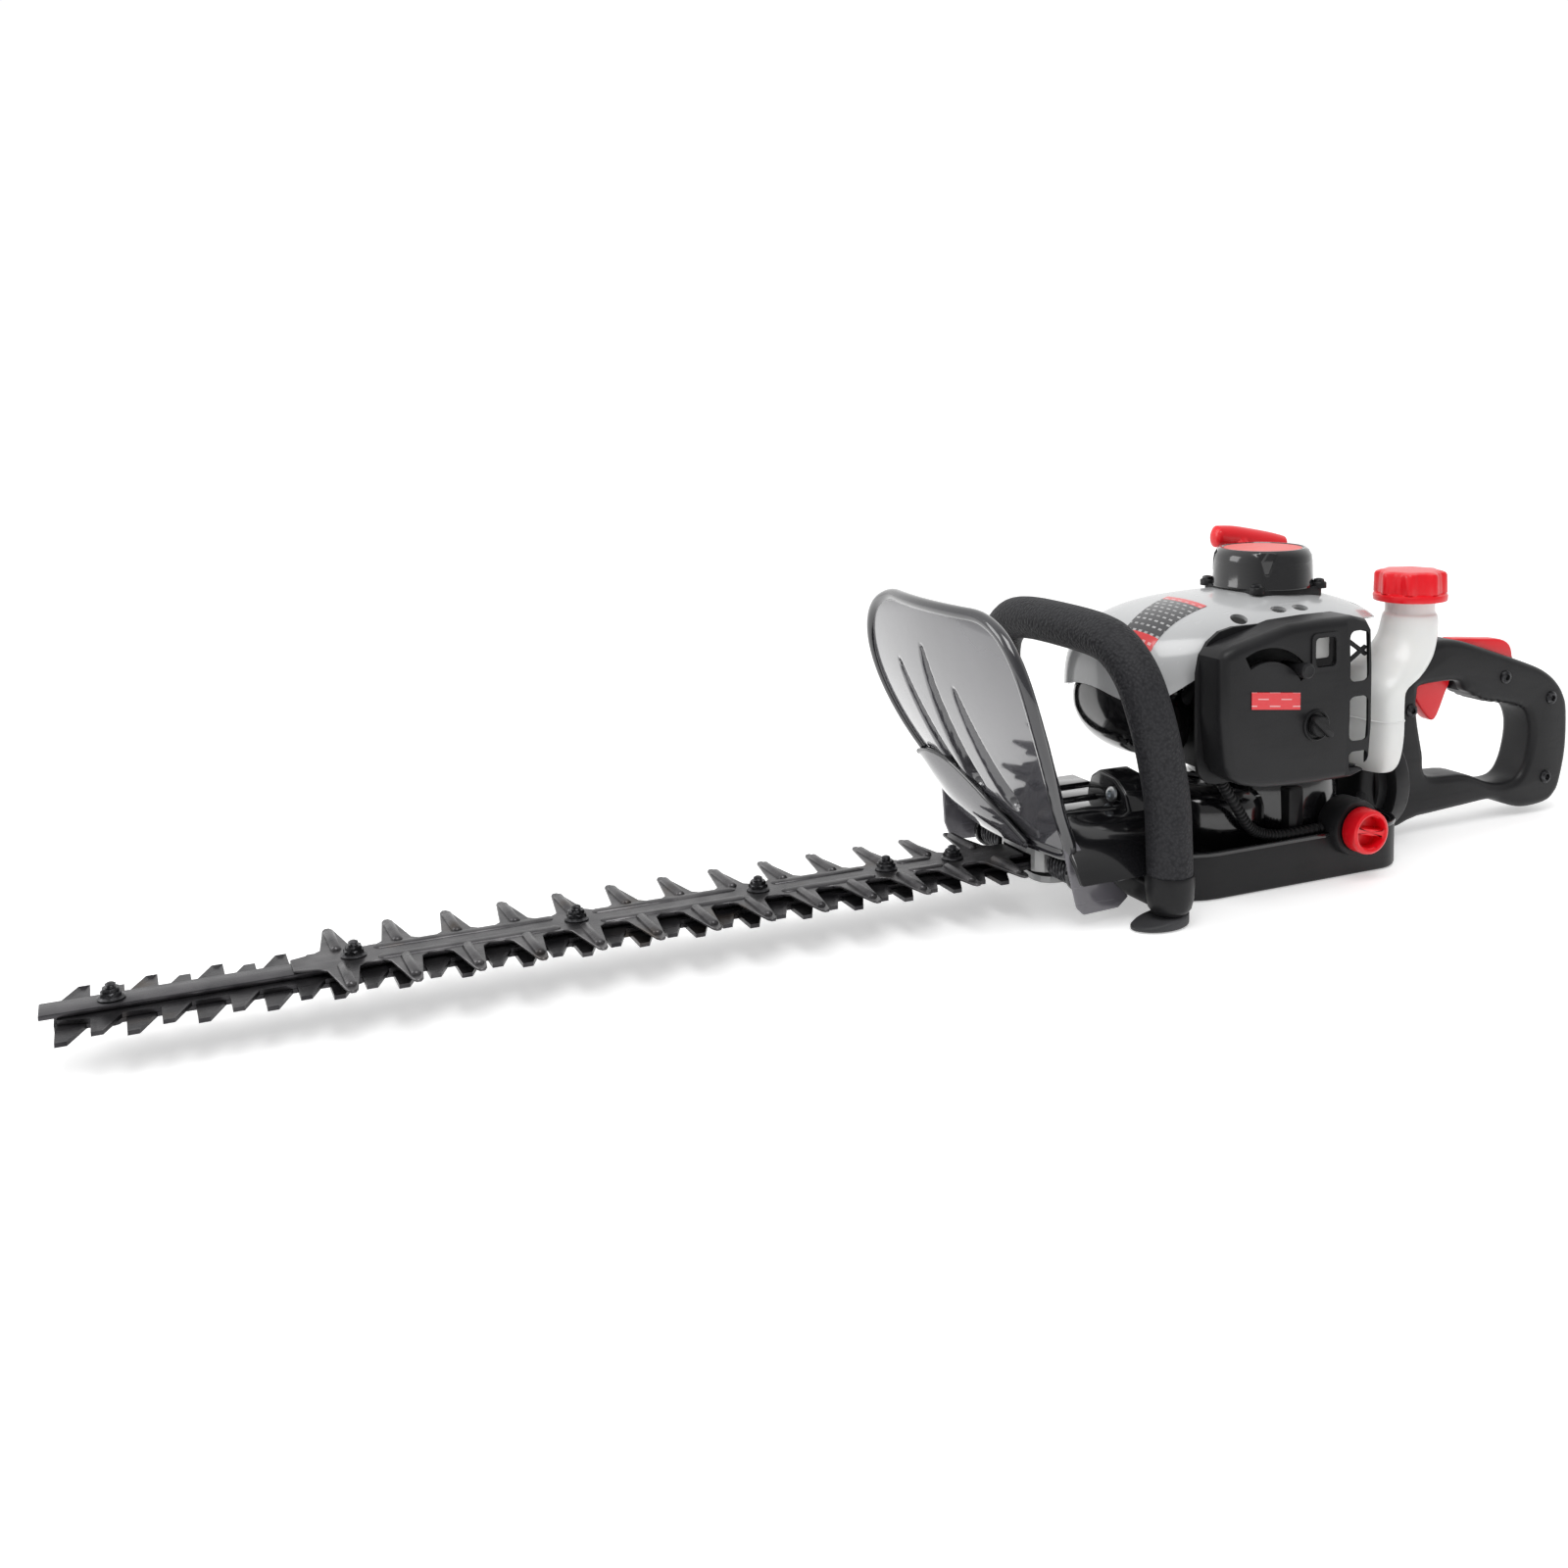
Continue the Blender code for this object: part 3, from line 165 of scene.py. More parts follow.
def shades(tree, value, *stops):
    """A colour ramp over (position, colour) stops."""
    ramp = tree.nodes.new("ShaderNodeValToRGB")
    while len(ramp.color_ramp.elements) < len(stops):
        ramp.color_ramp.elements.new(0.5)
    for element, (position, colour) in zip(ramp.color_ramp.elements, stops):
        element.position = position
        element.color = (*colour, 1.0)
    tree.links.new(value, ramp.inputs["Fac"])
    return ramp.outputs["Color"]


def tinted(tree, base, share, colour):
    """A colour field mixed with one fixed colour by a share from 0 to 1."""
    mixed = tree.nodes.new("ShaderNodeMix")
    mixed.data_type = "RGBA"
    tree.links.new(share, mixed.inputs["Factor"])
    tree.links.new(base, mixed.inputs["A"])
    mixed.inputs["B"].default_value = (*colour, 1.0)
    return mixed.outputs["Result"]


def emboss(tree, shader, height, depth):
    """Add a relief of the given depth in metres on top of any relief already there."""
    bump = tree.nodes.new("ShaderNodeBump")
    bump.inputs["Distance"].default_value = depth
    normal = shader.inputs["Normal"]
    if normal.is_linked:
        tree.links.new(normal.links[0].from_socket, bump.inputs["Normal"])
    tree.links.new(height, bump.inputs["Height"])
    tree.links.new(bump.outputs["Normal"], normal)


def blued_steel(name, dark, light):
    """Hardened steel with a blotchy oxide, fine grinding lines along the machine and a few brown stains."""
    made, tree, shader, place = finish(name, light, 0.4, metallic=0.75)
    oxide = shades(tree, cloud(tree, place, 55.0, 5.0), (0.35, dark), (0.65, light))
    stain = spread(tree, cloud(tree, place, 24.0, 4.0), 0.6, 0.72)
    tree.links.new(tinted(tree, oxide, stain, (0.045, 0.034, 0.026)), shader.inputs["Base Color"])
    lines = cloud(tree, place, 1400.0, 2.0, (0.03, 1.0, 1.0))
    tree.links.new(spread(tree, lines, 0.3, 0.7, 0.24, 0.4), shader.inputs["Roughness"])
    emboss(tree, shader, lines, 0.00004)
    return made


def settle(name, shape, material, slot, *stands_for, body="chassis", sharp=38.0):
    """Make a bmesh a finished piece: smooth but for its sharp edges, riding on its body."""
    mesh = bpy.data.meshes.new(name)
    shape.to_mesh(mesh)
    shape.free()
    mesh.materials.append(material)
    mesh.shade_smooth()
    mesh.set_sharp_from_angle(angle=math.radians(sharp))
    piece = bpy.data.objects.new(name, mesh)
    bpy.context.scene.collection.objects.link(piece)
    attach(piece, body)
    if stands_for:
        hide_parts(*stands_for)
    return piece


def raised(points, travel):
    """A flat outline given thickness by a copy of it moved along travel."""
    shape = bmesh.new()
    face = shape.faces.new([shape.verts.new(point) for point in points])
    grown = bmesh.ops.extrude_face_region(shape, geom=[face])["geom"]
    bmesh.ops.translate(shape, verts=[v for v in grown if isinstance(v, bmesh.types.BMVert)], vec=travel)
    bmesh.ops.recalc_face_normals(shape, faces=shape.faces[:])
    return shape


def pressed(outline, low, high, upright=False):
    """A block over an outline: x, y points rise along Z; upright ones are x, z and go along Y."""
    if upright:
        return raised([(x, low, z) for x, z in outline], (0, high - low, 0))
    return raised([(x, y, low) for x, y in outline], (0, 0, high - low))


def eased(shape, width, segments=2, least=30.0):
    """Round every edge that bends more than the least angle."""
    bends = [e for e in shape.edges if len(e.link_faces) == 2 and e.calc_face_angle() > math.radians(least)]
    bmesh.ops.bevel(shape, geom=bends, offset=width, segments=segments, profile=0.5, affect="EDGES",
                    material=-1)
    return shape


def held(shape):
    """A working object with a bmesh's shape."""
    mesh = bpy.data.meshes.new("work")
    shape.to_mesh(mesh)
    shape.free()
    holder = bpy.data.objects.new("work", mesh)
    bpy.context.scene.collection.objects.link(holder)
    return holder


def applied(holder):
    """The final shape of a working object, as a bmesh; the object itself goes."""
    bpy.context.view_layer.update()
    seen = holder.evaluated_get(bpy.context.evaluated_depsgraph_get())
    shape = bmesh.new()
    shape.from_mesh(bpy.data.meshes.new_from_object(seen))
    bpy.data.objects.remove(holder)
    return shape


def combined(shape, tool, operation="DIFFERENCE"):
    """Cut one closed shape with another, or join the two."""
    holder, other = held(shape), held(tool)
    change = holder.modifiers.new("work", "BOOLEAN")
    change.operation = operation
    change.solver = "EXACT"
    change.object = other
    result = applied(holder)
    bpy.data.objects.remove(other)
    return result


def toothed(near, far, front_x, rear_x, strip):
    """A strip with teeth on both edges; near and far hold their points from front to rear."""
    front = strip * 0.7
    return [(front_x, -front)] + near + [(rear_x, -strip), (rear_x, strip)] + far[::-1] + [(front_x, front)]


blade_strip = 0.016


def ground_blade(name, ground_side, first, count, far_from):
    """One blade, its teeth ground to a slope on the top (+1) or on the underside (-1)."""
    low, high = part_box(name)
    near, far = [], []
    for k in range(count):
        x = low.x + first + k * tooth_pitch
        near += [(x, -blade_strip), (x, low.y), (x + 0.006, low.y), (x + 0.0155, -blade_strip)]
        if k >= far_from:
            far += [(x - 0.0155, blade_strip), (x - 0.006, high.y), (x, high.y), (x, blade_strip)]
    shape = pressed(toothed(near, far, low.x, high.x, blade_strip), low.z, high.z)
    ground_face = max(shape.faces, key=lambda face: ground_side * face.calc_center_median().z)
    ring = list(ground_face.verts)
    bmesh.ops.inset_region(shape, faces=[ground_face], thickness=grind_width, use_even_offset=True)
    slope = 0.6 * (high.z - low.z)
    for corner in ring:
        if abs(corner.co.y) > blade_strip + 0.001:
            corner.co.z -= ground_side * slope
    return shape


blade_finish = blued_steel("blade_steel_blued", (0.016, 0.0155, 0.018), (0.055, 0.053, 0.056))
bar_finish = blued_steel("bar_steel_blued", (0.034, 0.033, 0.037), (0.07, 0.067, 0.072))

bar_low, bar_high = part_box("guide_bar")
bar_outline = [(bar_low.x, bar_low.y), (bar_high.x, bar_low.y), (bar_high.x, bar_high.y),
               (bar_low.x, bar_high.y)]
settle("bar_rail", eased(pressed(bar_outline, bar_low.z, bar_high.z), 0.0007), bar_finish, "blade_steel",
       "guide_bar")
settle("blade_top", ground_blade("upper_blade", 1, 0.0165, 16, 0), blade_finish, "blade_steel",
       "upper_blade", body="upper_blade", sharp=20.0)
settle("blade_bottom", ground_blade("lower_blade", -1, 0.0006, 17, 1), blade_finish, "blade_steel",
       "lower_blade", body="lower_blade", sharp=20.0)

# ---------------------------------------------------------------- comb guard
# The long pointed comb over the blades keeps hands and branches off them. It is pressed sheet steel,
# stiffened by a rib on every tooth and by a sunk channel along its spine between the bolts.

comb_finish = blued_steel("comb_steel_blued", (0.038, 0.037, 0.04), (0.095, 0.092, 0.095))
comb_low, comb_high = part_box("comb_guard")
comb_tooth = ((-0.013, 0.0), (-0.0088, 0.09), (-0.003, 0.93), (-0.0014, 1.0), (0.0014, 1.0), (0.003, 0.93),
              (0.0088, 0.09), (0.013, 0.0))
comb_strip, comb_first, comb_count = 0.0135, -0.65, 13
comb_side = []
for k in range(comb_count):
    tooth_at = comb_first + k * tooth_pitch
    comb_side += [(tooth_at + x, comb_strip + share * (comb_high.y - comb_strip))
                  for x, share in comb_tooth]
comb = pressed(toothed([(x, -y) for x, y in comb_side], comb_side, comb_low.x, comb_high.x, comb_strip),
               comb_low.z, comb_high.z)
comb = eased(comb, 0.0004, 1, 60.0)
rib_start, rib_end, rib_radius = 0.015, 0.044, 0.0033


def pill(start, end, radius, height, sides=12):
    """A long rounded bump or groove between two points: a ball drawn out into a rod with round ends."""
    shape = bmesh.new()
    bmesh.ops.create_uvsphere(shape, u_segments=sides, v_segments=sides // 2 + 1, radius=radius)
    along = Vector(end) - Vector(start)
    for corner in shape.verts:
        corner.co = Vector((corner.co.z, corner.co.y, corner.co.x * height / radius))
        corner.co.x += math.copysign(along.length / 2, corner.co.x)
    turn = Vector((1, 0, 0)).rotation_difference(along).to_matrix().to_4x4()
    bmesh.ops.transform(shape, matrix=Matrix.Translation((Vector(start) + Vector(end)) / 2) @ turn,
                        verts=shape.verts[:])
    return shape


def gathered(shapes):
    """Several shapes as the islands of one."""
    whole = bmesh.new()
    for shape in shapes:
        mesh = bpy.data.meshes.new("island")
        shape.to_mesh(mesh)
        shape.free()
        whole.from_mesh(mesh)
    return whole


tooth_x = [comb_first + i * tooth_pitch for i in range(comb_count)]
ribs = [pill((x, side * rib_start, comb_high.z), (x, side * rib_end, comb_high.z), rib_radius, 0.0026)
        for x in tooth_x for side in (-1, 1)]
comb = combined(comb, gathered(ribs), "UNION")
bolt_x = sorted((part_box(f"blade_bolt_{n}")[0].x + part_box(f"blade_bolt_{n}")[1].x) / 2 for n in range(1, 7))
channel_ends = [(a + 0.016, b - 0.016) for a, b in zip(bolt_x[1:], bolt_x[2:])]
channel_y = 0.0088
channel_lines = [((a, y, comb_high.z), (b, y, comb_high.z))
                 for a, b in channel_ends for y in (-channel_y, channel_y)]
comb = combined(comb, gathered([pill(a, b, 0.0038, 0.0011) for a, b in channel_lines]), "UNION")
comb = combined(comb, gathered([pill(a, b, 0.0022, 0.0021) for a, b in channel_lines]))
settle("comb_pressed", comb, comb_finish, "blade_steel", "comb_guard", sharp=30.0)

# ---------------------------------------------------------------- blade bolts
# Six shouldered bolts hold the stack together: a flanged nut and a thinner locknut on each, with
# the end of the threaded stud standing out above them. All are black oxide steel.


def toned(name, colour, roughness, metallic, grain, low, high, skin, depth):
    """A tone that drifts between two stops under a fine skin; grain and skin are arguments of cloud."""
    made, tree, shader, place = finish(name, colour, roughness, metallic)
    tree.links.new(shades(tree, cloud(tree, place, *grain), low, high), shader.inputs["Base Color"])
    emboss(tree, shader, cloud(tree, place, *skin), depth)
    return made


def mm(*points):
    """Points given in millimetres, in metres."""
    return [tuple(value / 1000 for value in point) for point in points]


def spun(profile, at=(0, 0, 0), axis=(0, 0, 1), steps=48):
    """A turned shape: profile holds (radius, height) from one end of the piece to the other."""
    shape = bmesh.new()
    line = [shape.verts.new((radius, 0, height)) for radius, height in profile]
    edges = [shape.edges.new(pair) for pair in zip(line, line[1:])]
    bmesh.ops.spin(shape, geom=line + edges, cent=(0, 0, 0), axis=(0, 0, 1), angle=2 * math.pi, steps=steps,
                   use_merge=True)
    bmesh.ops.remove_doubles(shape, verts=shape.verts[:], dist=0.000002)
    bmesh.ops.recalc_face_normals(shape, faces=shape.faces[:])
    turn = Vector((0, 0, 1)).rotation_difference(Vector(axis)).to_matrix().to_4x4()
    bmesh.ops.transform(shape, matrix=Matrix.Translation(at) @ turn, verts=shape.verts[:])
    return shape


def hex_nut(x, low, high, radius):
    """A nut with chamfered corners around a vertical stud at x."""
    nut = bmesh.new()
    middle = Matrix.Translation((x, 0, (low + high) / 2))
    bmesh.ops.create_cone(nut, cap_ends=True, segments=6, radius1=radius, radius2=radius, depth=high - low,
                          matrix=middle)
    chamfer = spun([(0, low - 0.001), (radius * 0.86, low - 0.001), (radius * 1.03, low + 0.001),
                    (radius * 1.03, high - 0.001), (radius * 0.88, high + 0.0001), (0, high + 0.0001)],
                   at=(x, 0, 0), steps=32)
    return combined(nut, chamfer, "INTERSECT")


bolt_finish = toned("bolt_black_oxide", (0.03, 0.03, 0.032), 0.35, 0.7, (300.0,),
                    (0.45, (0.018, 0.018, 0.02)), (0.72, (0.1, 0.1, 0.105)), (2500.0,), 0.00003)
stud_radius, shoulder_radius, thread_pitch = 0.0025, 0.0052, 0.0008
for number in range(1, 7):
    low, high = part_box(f"blade_bolt_{number}")
    x = (low.x + high.x) / 2
    seat = (comb_high.z if x > comb_low.x else bar_high.z) + 0.0002
    top = high.z + 0.0002
    stud = [(0, low.z), (shoulder_radius, low.z), (shoulder_radius, low.z + 0.0035),
            (stud_radius, low.z + 0.004), (stud_radius, seat), (0.0072, seat), (0.0074, seat + 0.0006),
            (0.0058, seat + 0.0018), (stud_radius, seat + 0.002)]
    thread_low = seat + 0.006
    for turn_number in range(int((top - thread_low) / thread_pitch)):
        z = thread_low + turn_number * thread_pitch
        stud += [(stud_radius, z), (stud_radius + 0.0004, z + thread_pitch / 2)]
    stud += [(0.0023, top - 0.0004), (0.0016, top), (0, top)]
    bolt = combined(spun(stud, at=(x, 0, 0), steps=32), hex_nut(x, seat + 0.001, seat + 0.004, 0.0062),
                    "UNION")
    bolt = combined(bolt, hex_nut(x, seat + 0.0039, seat + 0.0061, 0.005), "UNION")
    settle(f"bolt_{number}", bolt, bolt_finish, "dark_bolt", f"blade_bolt_{number}")

# ---------------------------------------------------------------- gear case, drive and springs
# The cast case grips the rear of the bar; its gears and clutch are machined and zinc plated.
# Two short coil springs with rubber discs stand between its nose and the guard's skirts.


def moulding(name, colour, roughness, skin, depth, coat=0.0, tint=0.25, metallic=0.0):
    """Injection-moulded plastic: a fine skin, slow change of tone, and hairline scratches in its gloss."""
    made, tree, shader, place = finish(name, colour, roughness, metallic, coat)
    if roughness > 0.3:
        shader.inputs["Specular IOR Level"].default_value = 0.22
    darker = tuple(c * (1 - tint) for c in colour)
    lighter = tuple(min(1.0, c * (1 + tint)) for c in colour)
    tree.links.new(shades(tree, cloud(tree, place, 17.0), (0.3, darker), (0.7, lighter)),
                   shader.inputs["Base Color"])
    scratches = cloud(tree, place, 700.0, 2.0, (0.05, 1.0, 0.4))
    tree.links.new(spread(tree, scratches, 0.55, 0.8, roughness, roughness + 0.14),
                   shader.inputs["Roughness"])
    emboss(tree, shader, cloud(tree, place, skin, 2.0), depth)
    return made


def drawn(points, radius, sides=16, scales=None, closed=False):
    """A round rod along points, with flat ends unless it is closed; scales thin it point by point."""
    line = bpy.data.curves.new("line", "CURVE")
    line.dimensions = "3D"
    line.bevel_depth = radius
    line.bevel_resolution = sides // 2 - 2
    line.use_fill_caps = not closed
    spline = line.splines.new("POLY")
    spline.points.add(len(points) - 1)
    spline.use_cyclic_u = closed
    for i, point in enumerate(points):
        spline.points[i].co = (*point, 1)
        spline.points[i].radius = scales[i] if scales else 1.0
    holder = bpy.data.objects.new("line", line)
    bpy.context.scene.collection.objects.link(holder)
    shape = applied(holder)
    bmesh.ops.remove_doubles(shape, verts=shape.verts[:], dist=0.000005)
    bmesh.ops.recalc_face_normals(shape, faces=shape.faces[:])
    return shape


def bend(a, b, c, d, t):
    """A point of the smooth curve from b to c, t of the way along it, with a and d the points beyond."""
    square, cube = 2 * a - 5 * b + 4 * c - d, 3 * b - a - 3 * c + d
    return 0.5 * (2 * b + (c - a) * t + square * t ** 2 + cube * t ** 3)


def through(points, steps):
    """A smooth line through points, with steps between each two."""
    points = [Vector(p) for p in points]
    padded = [2 * points[0] - points[1]] + points + [2 * points[-1] - points[-2]]
    path = []
    for a, b, c, d in zip(padded, padded[1:], padded[2:], padded[3:]):
        path += [bend(a, b, c, d, i / steps) for i in range(steps)]
    return path + [points[-1]]


def recoat(material, *names):
    """Give pieces that stay as they came a finished material."""
    for name in names:
        nodes[name].data.materials.clear()
        nodes[name].data.materials.append(material)


casting = toned("case_casting", (0.4, 0.4, 0.4), 0.5, 0.8, (45.0, 4.0), (0.3, (0.27, 0.275, 0.28)),
                (0.7, (0.46, 0.46, 0.455)), (1300.0, 3.0), 0.00022)
plating = toned("plated_steel", (0.6, 0.61, 0.62), 0.3, 1.0, (130.0,), (0.35, (0.42, 0.45, 0.48)),
                (0.65, (0.68, 0.68, 0.65)), (1800.0, 2.0, (1.0, 1.0, 0.1)), 0.00003)
black_shell = moulding("black_shell", (0.006, 0.006, 0.007), 0.13, 380.0, 0.00003, coat=0.5)
recoat(casting, "gear_case", "gear_case_cover", "crankcase", "cylinder", "flywheel_fan", "carburettor")
recoat(plating, "drive_gear", "gear_arbor", "clutch_drum", "piston", "crankshaft")
recoat(bolt_finish, "clutch_rotor", "muffler")

spring_coils, spring_wire, steps_a_coil = 7, 0.0012, 20
for name, side in (("left", -1), ("right", 1)):
    low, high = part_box(f"av_spring_{name}")
    centre_x, centre_z = (low.x + high.x) / 2, (low.z + high.z) / 2
    coil_radius = (high.z - low.z) / 2 - spring_wire
    inner_y, outer_y = sorted((low.y + spring_wire, high.y - spring_wire), key=abs)
    turns = []
    for i in range(spring_coils * steps_a_coil + 1):
        angle = 2 * math.pi * i / steps_a_coil
        y = inner_y + (outer_y - inner_y) * i / (spring_coils * steps_a_coil)
        turns.append((centre_x + coil_radius * math.cos(angle), y,
                      centre_z + coil_radius * math.sin(angle)))
    settle(f"damper_spring_{name}", drawn(turns, spring_wire, 10), bolt_finish, "dark_bolt",
           f"av_spring_{name}")
    disc = mm((0, 0), (11.2, 0), (11.8, 0.7), (11.8, 3), (10.5, 4), (6, 4.2), (0, 3.6))
    seat = (centre_x, outer_y + side * spring_wire, centre_z)
    settle(f"damper_disc_{name}", spun(disc, at=seat, axis=(0, side, 0)), black_shell, "black_gloss")

# ---------------------------------------------------------------- hand guard
# A smoked plastic shield leaning forward in front of the hand: a thin curved plate with a rolled rim,
# three pointed grooves pressed in it, a scoop-shaped lip at its foot and a wing down each side.

guard_rows = mm((46, -210.5, 68), (60, -217, 72), (78, -227, 79), (98, -238.5, 90), (120, -249, 98.5),
                (145, -259, 103), (168, -265.5, 102), (186, -269, 94), (198, -270.3, 81),
                (204.5, -270.5, 60))
guard_wrap, guard_wall, guard_bead = 0.006, 0.0028, 0.0044
guard_columns = 8
cage = bmesh.new()
bmesh.ops.create_grid(cage, x_segments=guard_columns, y_segments=len(guard_rows) - 1, size=1.0)
cage.verts.ensure_lookup_table()
for corner in cage.verts:
    column = round((corner.co.x + 1) / 2 * guard_columns)
    z, x, half = guard_rows[round((corner.co.y + 1) / 2 * (len(guard_rows) - 1))]
    share = 2 * column / guard_columns - 1
    corner.co = (x + guard_wrap * share ** 2, half * share, z)


def refined(shape, levels):
    """The shape after Catmull-Clark subdivision."""
    holder = held(shape)
    change = holder.modifiers.new("work", "SUBSURF")
    change.levels = change.render_levels = levels
    return applied(holder)


plate = refined(cage, 4)
grooves = (((0.054, 0.16), (0.036, 0.088), 0.007), ((0.013, 0.176), (0.009, 0.086), 0.0085),
           ((-0.019, 0.152), (-0.03, 0.08), 0.007))


def along(point, start, end):
    """How far a point lies along a line, from 0 to 1, and its distance from it."""
    line = end - start
    share = min(1.0, max(0.0, (point - start).dot(line) / line.length_squared))
    return share, (point - start - line * share).length


for corner in plate.verts:
    place = Vector((corner.co.y, corner.co.z))
    push = 0.0
    for start, end, width in grooves:
        share, distance = along(place, Vector(start), Vector(end))
        reach = width * (0.1 + 0.9 * share ** 0.6)
        push += 0.0095 * math.exp(-(distance / reach) ** 4)
    corner.co.x += push
rim = [e for e in plate.edges if len(e.link_faces) == 1]
rim_path = []
step = rim[0]
corner = step.verts[0]
while len(rim_path) < len(rim):
    rim_path.append(corner.co.copy())
    corner = step.other_vert(corner)
    step = next(e for e in corner.link_edges if e is not step and len(e.link_faces) == 1)

smoked = moulding("smoked_plastic", (0.062, 0.061, 0.068), 0.07, 120.0, 0.00008, coat=1.0, tint=0.15)
smoked.node_tree.nodes["Principled BSDF"].inputs["Coat IOR"].default_value = 1.7
shield = settle("guard_shield", plate, smoked, "smoke_gloss", "hand_guard", sharp=80.0)
wall = shield.modifiers.new("wall", "SOLIDIFY")
wall.thickness = guard_wall
wall.offset = 0.0
dark_rim = moulding("guard_rim_black", (0.012, 0.012, 0.015), 0.1, 300.0, 0.00003, coat=0.9)
settle("guard_rim", drawn(rim_path, guard_bead, 12, closed=True), dark_rim, "smoke_gloss")
lip_line = through(mm((-233, 84, 86), (-234.5, 64, 90), (-233, 42, 88), (-230, 18, 79), (-225, -8, 65),
                      (-217, -32, 48)), 8)
foot_line = through(mm((-230, 84, 85), (-224, 79, 74), (-219, 72, 61), (-216, 56, 50), (-215, 20, 45),
                       (-215, -32, 45)), 8)
apron = bmesh.new()
apron_steps = len(lip_line) - 1
bmesh.ops.create_grid(apron, x_segments=apron_steps, y_segments=10, size=0.5)
for corner in apron.verts:
    column, share = round((corner.co.x + 0.5) * apron_steps), corner.co.y + 0.5
    belly = 0.006 * math.sin(math.pi * share) * math.sin(math.pi * column / apron_steps)
    corner.co = lip_line[column].lerp(foot_line[column], share) - Vector((belly, 0, 0))
bmesh.ops.recalc_face_normals(apron, faces=apron.faces[:])
bmesh.ops.solidify(apron, geom=apron.faces[:], thickness=0.0022)
settle("guard_apron", apron, smoked, "smoke_gloss", sharp=60.0)
settle("guard_apron_rim", drawn(lip_line, 0.0022, 12), dark_rim, "smoke_gloss")

near_wing = mm((-212.5, 52), (-206, 60), (-196, 46), (-164, 15), (-172, 8.5), (-198, 7.5), (-203, 12.5),
               (-208.5, 35))
far_wing = mm((-223, 62), (-208, 66), (-192, 40), (-192, 21.5), (-216, 22.5), (-221.5, 36))
wing_tint = moulding("smoked_wing", (0.115, 0.11, 0.125), 0.22, 120.0, 0.00005, coat=0.5, tint=0.2)
settle("guard_wing_near", eased(pressed(near_wing, -0.0712, -0.068, upright=True), 0.0012), wing_tint,
       "smoke_gloss")
settle("guard_wing_far", eased(pressed(far_wing, 0.068, 0.0712, upright=True), 0.0012), wing_tint,
       "smoke_gloss")


def prism(section, start, end):
    """A y, z section carried along X from start to end."""
    return raised([(start, y, z) for y, z in section], (end - start, 0, 0))


shelf_section = mm((-86, 32), (-72, 50), (-60, 60), (-46, 64.5), (46, 64.5), (60, 60), (72, 50), (86, 32),
                   (81.5, 31), (69, 47), (44, 60), (-44, 60), (-69, 47), (-81.5, 31))
settle("guard_shelf", eased(prism(shelf_section, -0.209, -0.128), 0.0016), black_shell, "black_gloss",
       sharp=50.0)
ridges = []
for y in (-0.033, -0.004, 0.025):
    ridge = [(y - 0.0105, 0.063), (y + 0.0105, 0.063), (y + 0.009, 0.0672), (y - 0.009, 0.0672)]
    ridges.append(eased(prism(ridge, -0.215, -0.134), 0.0016))
settle("guard_shelf_ridges", gathered(ridges), black_shell, "black_gloss", sharp=50.0)
hump = mm((-52, 58), (-46, 74), (-34, 83), (-16, 85), (-6, 79), (2, 58))
settle("guard_bracket_hump", eased(prism(hump, -0.15, -0.126), 0.003, 3), black_shell, "black_gloss")
screw_head = mm((0, 0), (4.8, 0), (5.2, 0.6), (5, 2), (3.8, 3), (2.4, 3.1), (2.2, 1.4), (0, 1.4))
settle("bracket_screw", spun(screw_head, at=(-0.152, -0.036, 0.0725), axis=(-1, 0, 0.2), steps=24), plating,
       "zinc_steel")

# ---------------------------------------------------------------- front handle
# A steel tube bent into a wide arch and covered with a thick pebbled foam sleeve. Both ends are
# clamped by smooth plastic end caps, tied to the base, and stand on dark wedge-shaped rubber feet.

leg_x, leg_y = -0.147, 0.091
leg_line = mm((-147, 31), (-147.5, 52), (-149, 80), (-154, 108), (-161, 135))
bend_line = mm((-165.5, 83, 160), (-167.5, 66, 176), (-168, 44, 182))
near_half = [(x, -leg_y, z) for x, z in leg_line] + [(x, -y, z) for x, y, z in bend_line]
far_half = [(x, y, z) for x, y, z in bend_line[::-1]] + [(x, leg_y, z) for x, z in leg_line[::-1]]
grip_path = through(near_half + [(-0.1685, 0.0, 0.1835)] + far_half, 10)


def foam_rubber(name):
    """Closed-cell grip foam: charcoal, matt, with a pebbled skin of small rounded cells, and painted shade in
    the sunken gaps between them.
    """
    made, tree, shader, place = finish(name, (0.018, 0.018, 0.02), 0.6)
    shader.inputs["Specular IOR Level"].default_value = 0.25
    cells = tree.nodes.new("ShaderNodeTexVoronoi")
    cells.feature = "SMOOTH_F1"
    cells.inputs["Scale"].default_value = 520.0
    cells.inputs["Smoothness"].default_value = 0.6
    tree.links.new(place, cells.inputs["Vector"])
    # Painted shade: the colour darkens from each cell's middle towards its edge, where the relief sinks, so
    # the gaps between the pebbles are painted darker.
    tone = shades(tree, cells.outputs["Distance"], (0.1, (0.026, 0.026, 0.029)), (0.8, (0.01, 0.01, 0.012)))
    tree.links.new(tone, shader.inputs["Base Color"])
    emboss(tree, shader, spread(tree, cells.outputs["Distance"], 0.0, 1.0, 1.0, 0.0), 0.0007)
    return made


def arc(x, y, radius, start, step, count, radius_y=None):
    """Points on a circle around x, y, step degrees apart; an ellipse if radius_y is given."""
    angles = [math.radians(start + step * i) for i in range(count)]
    return [(x + radius * math.cos(angle), y + (radius_y or radius) * math.sin(angle)) for angle in angles]


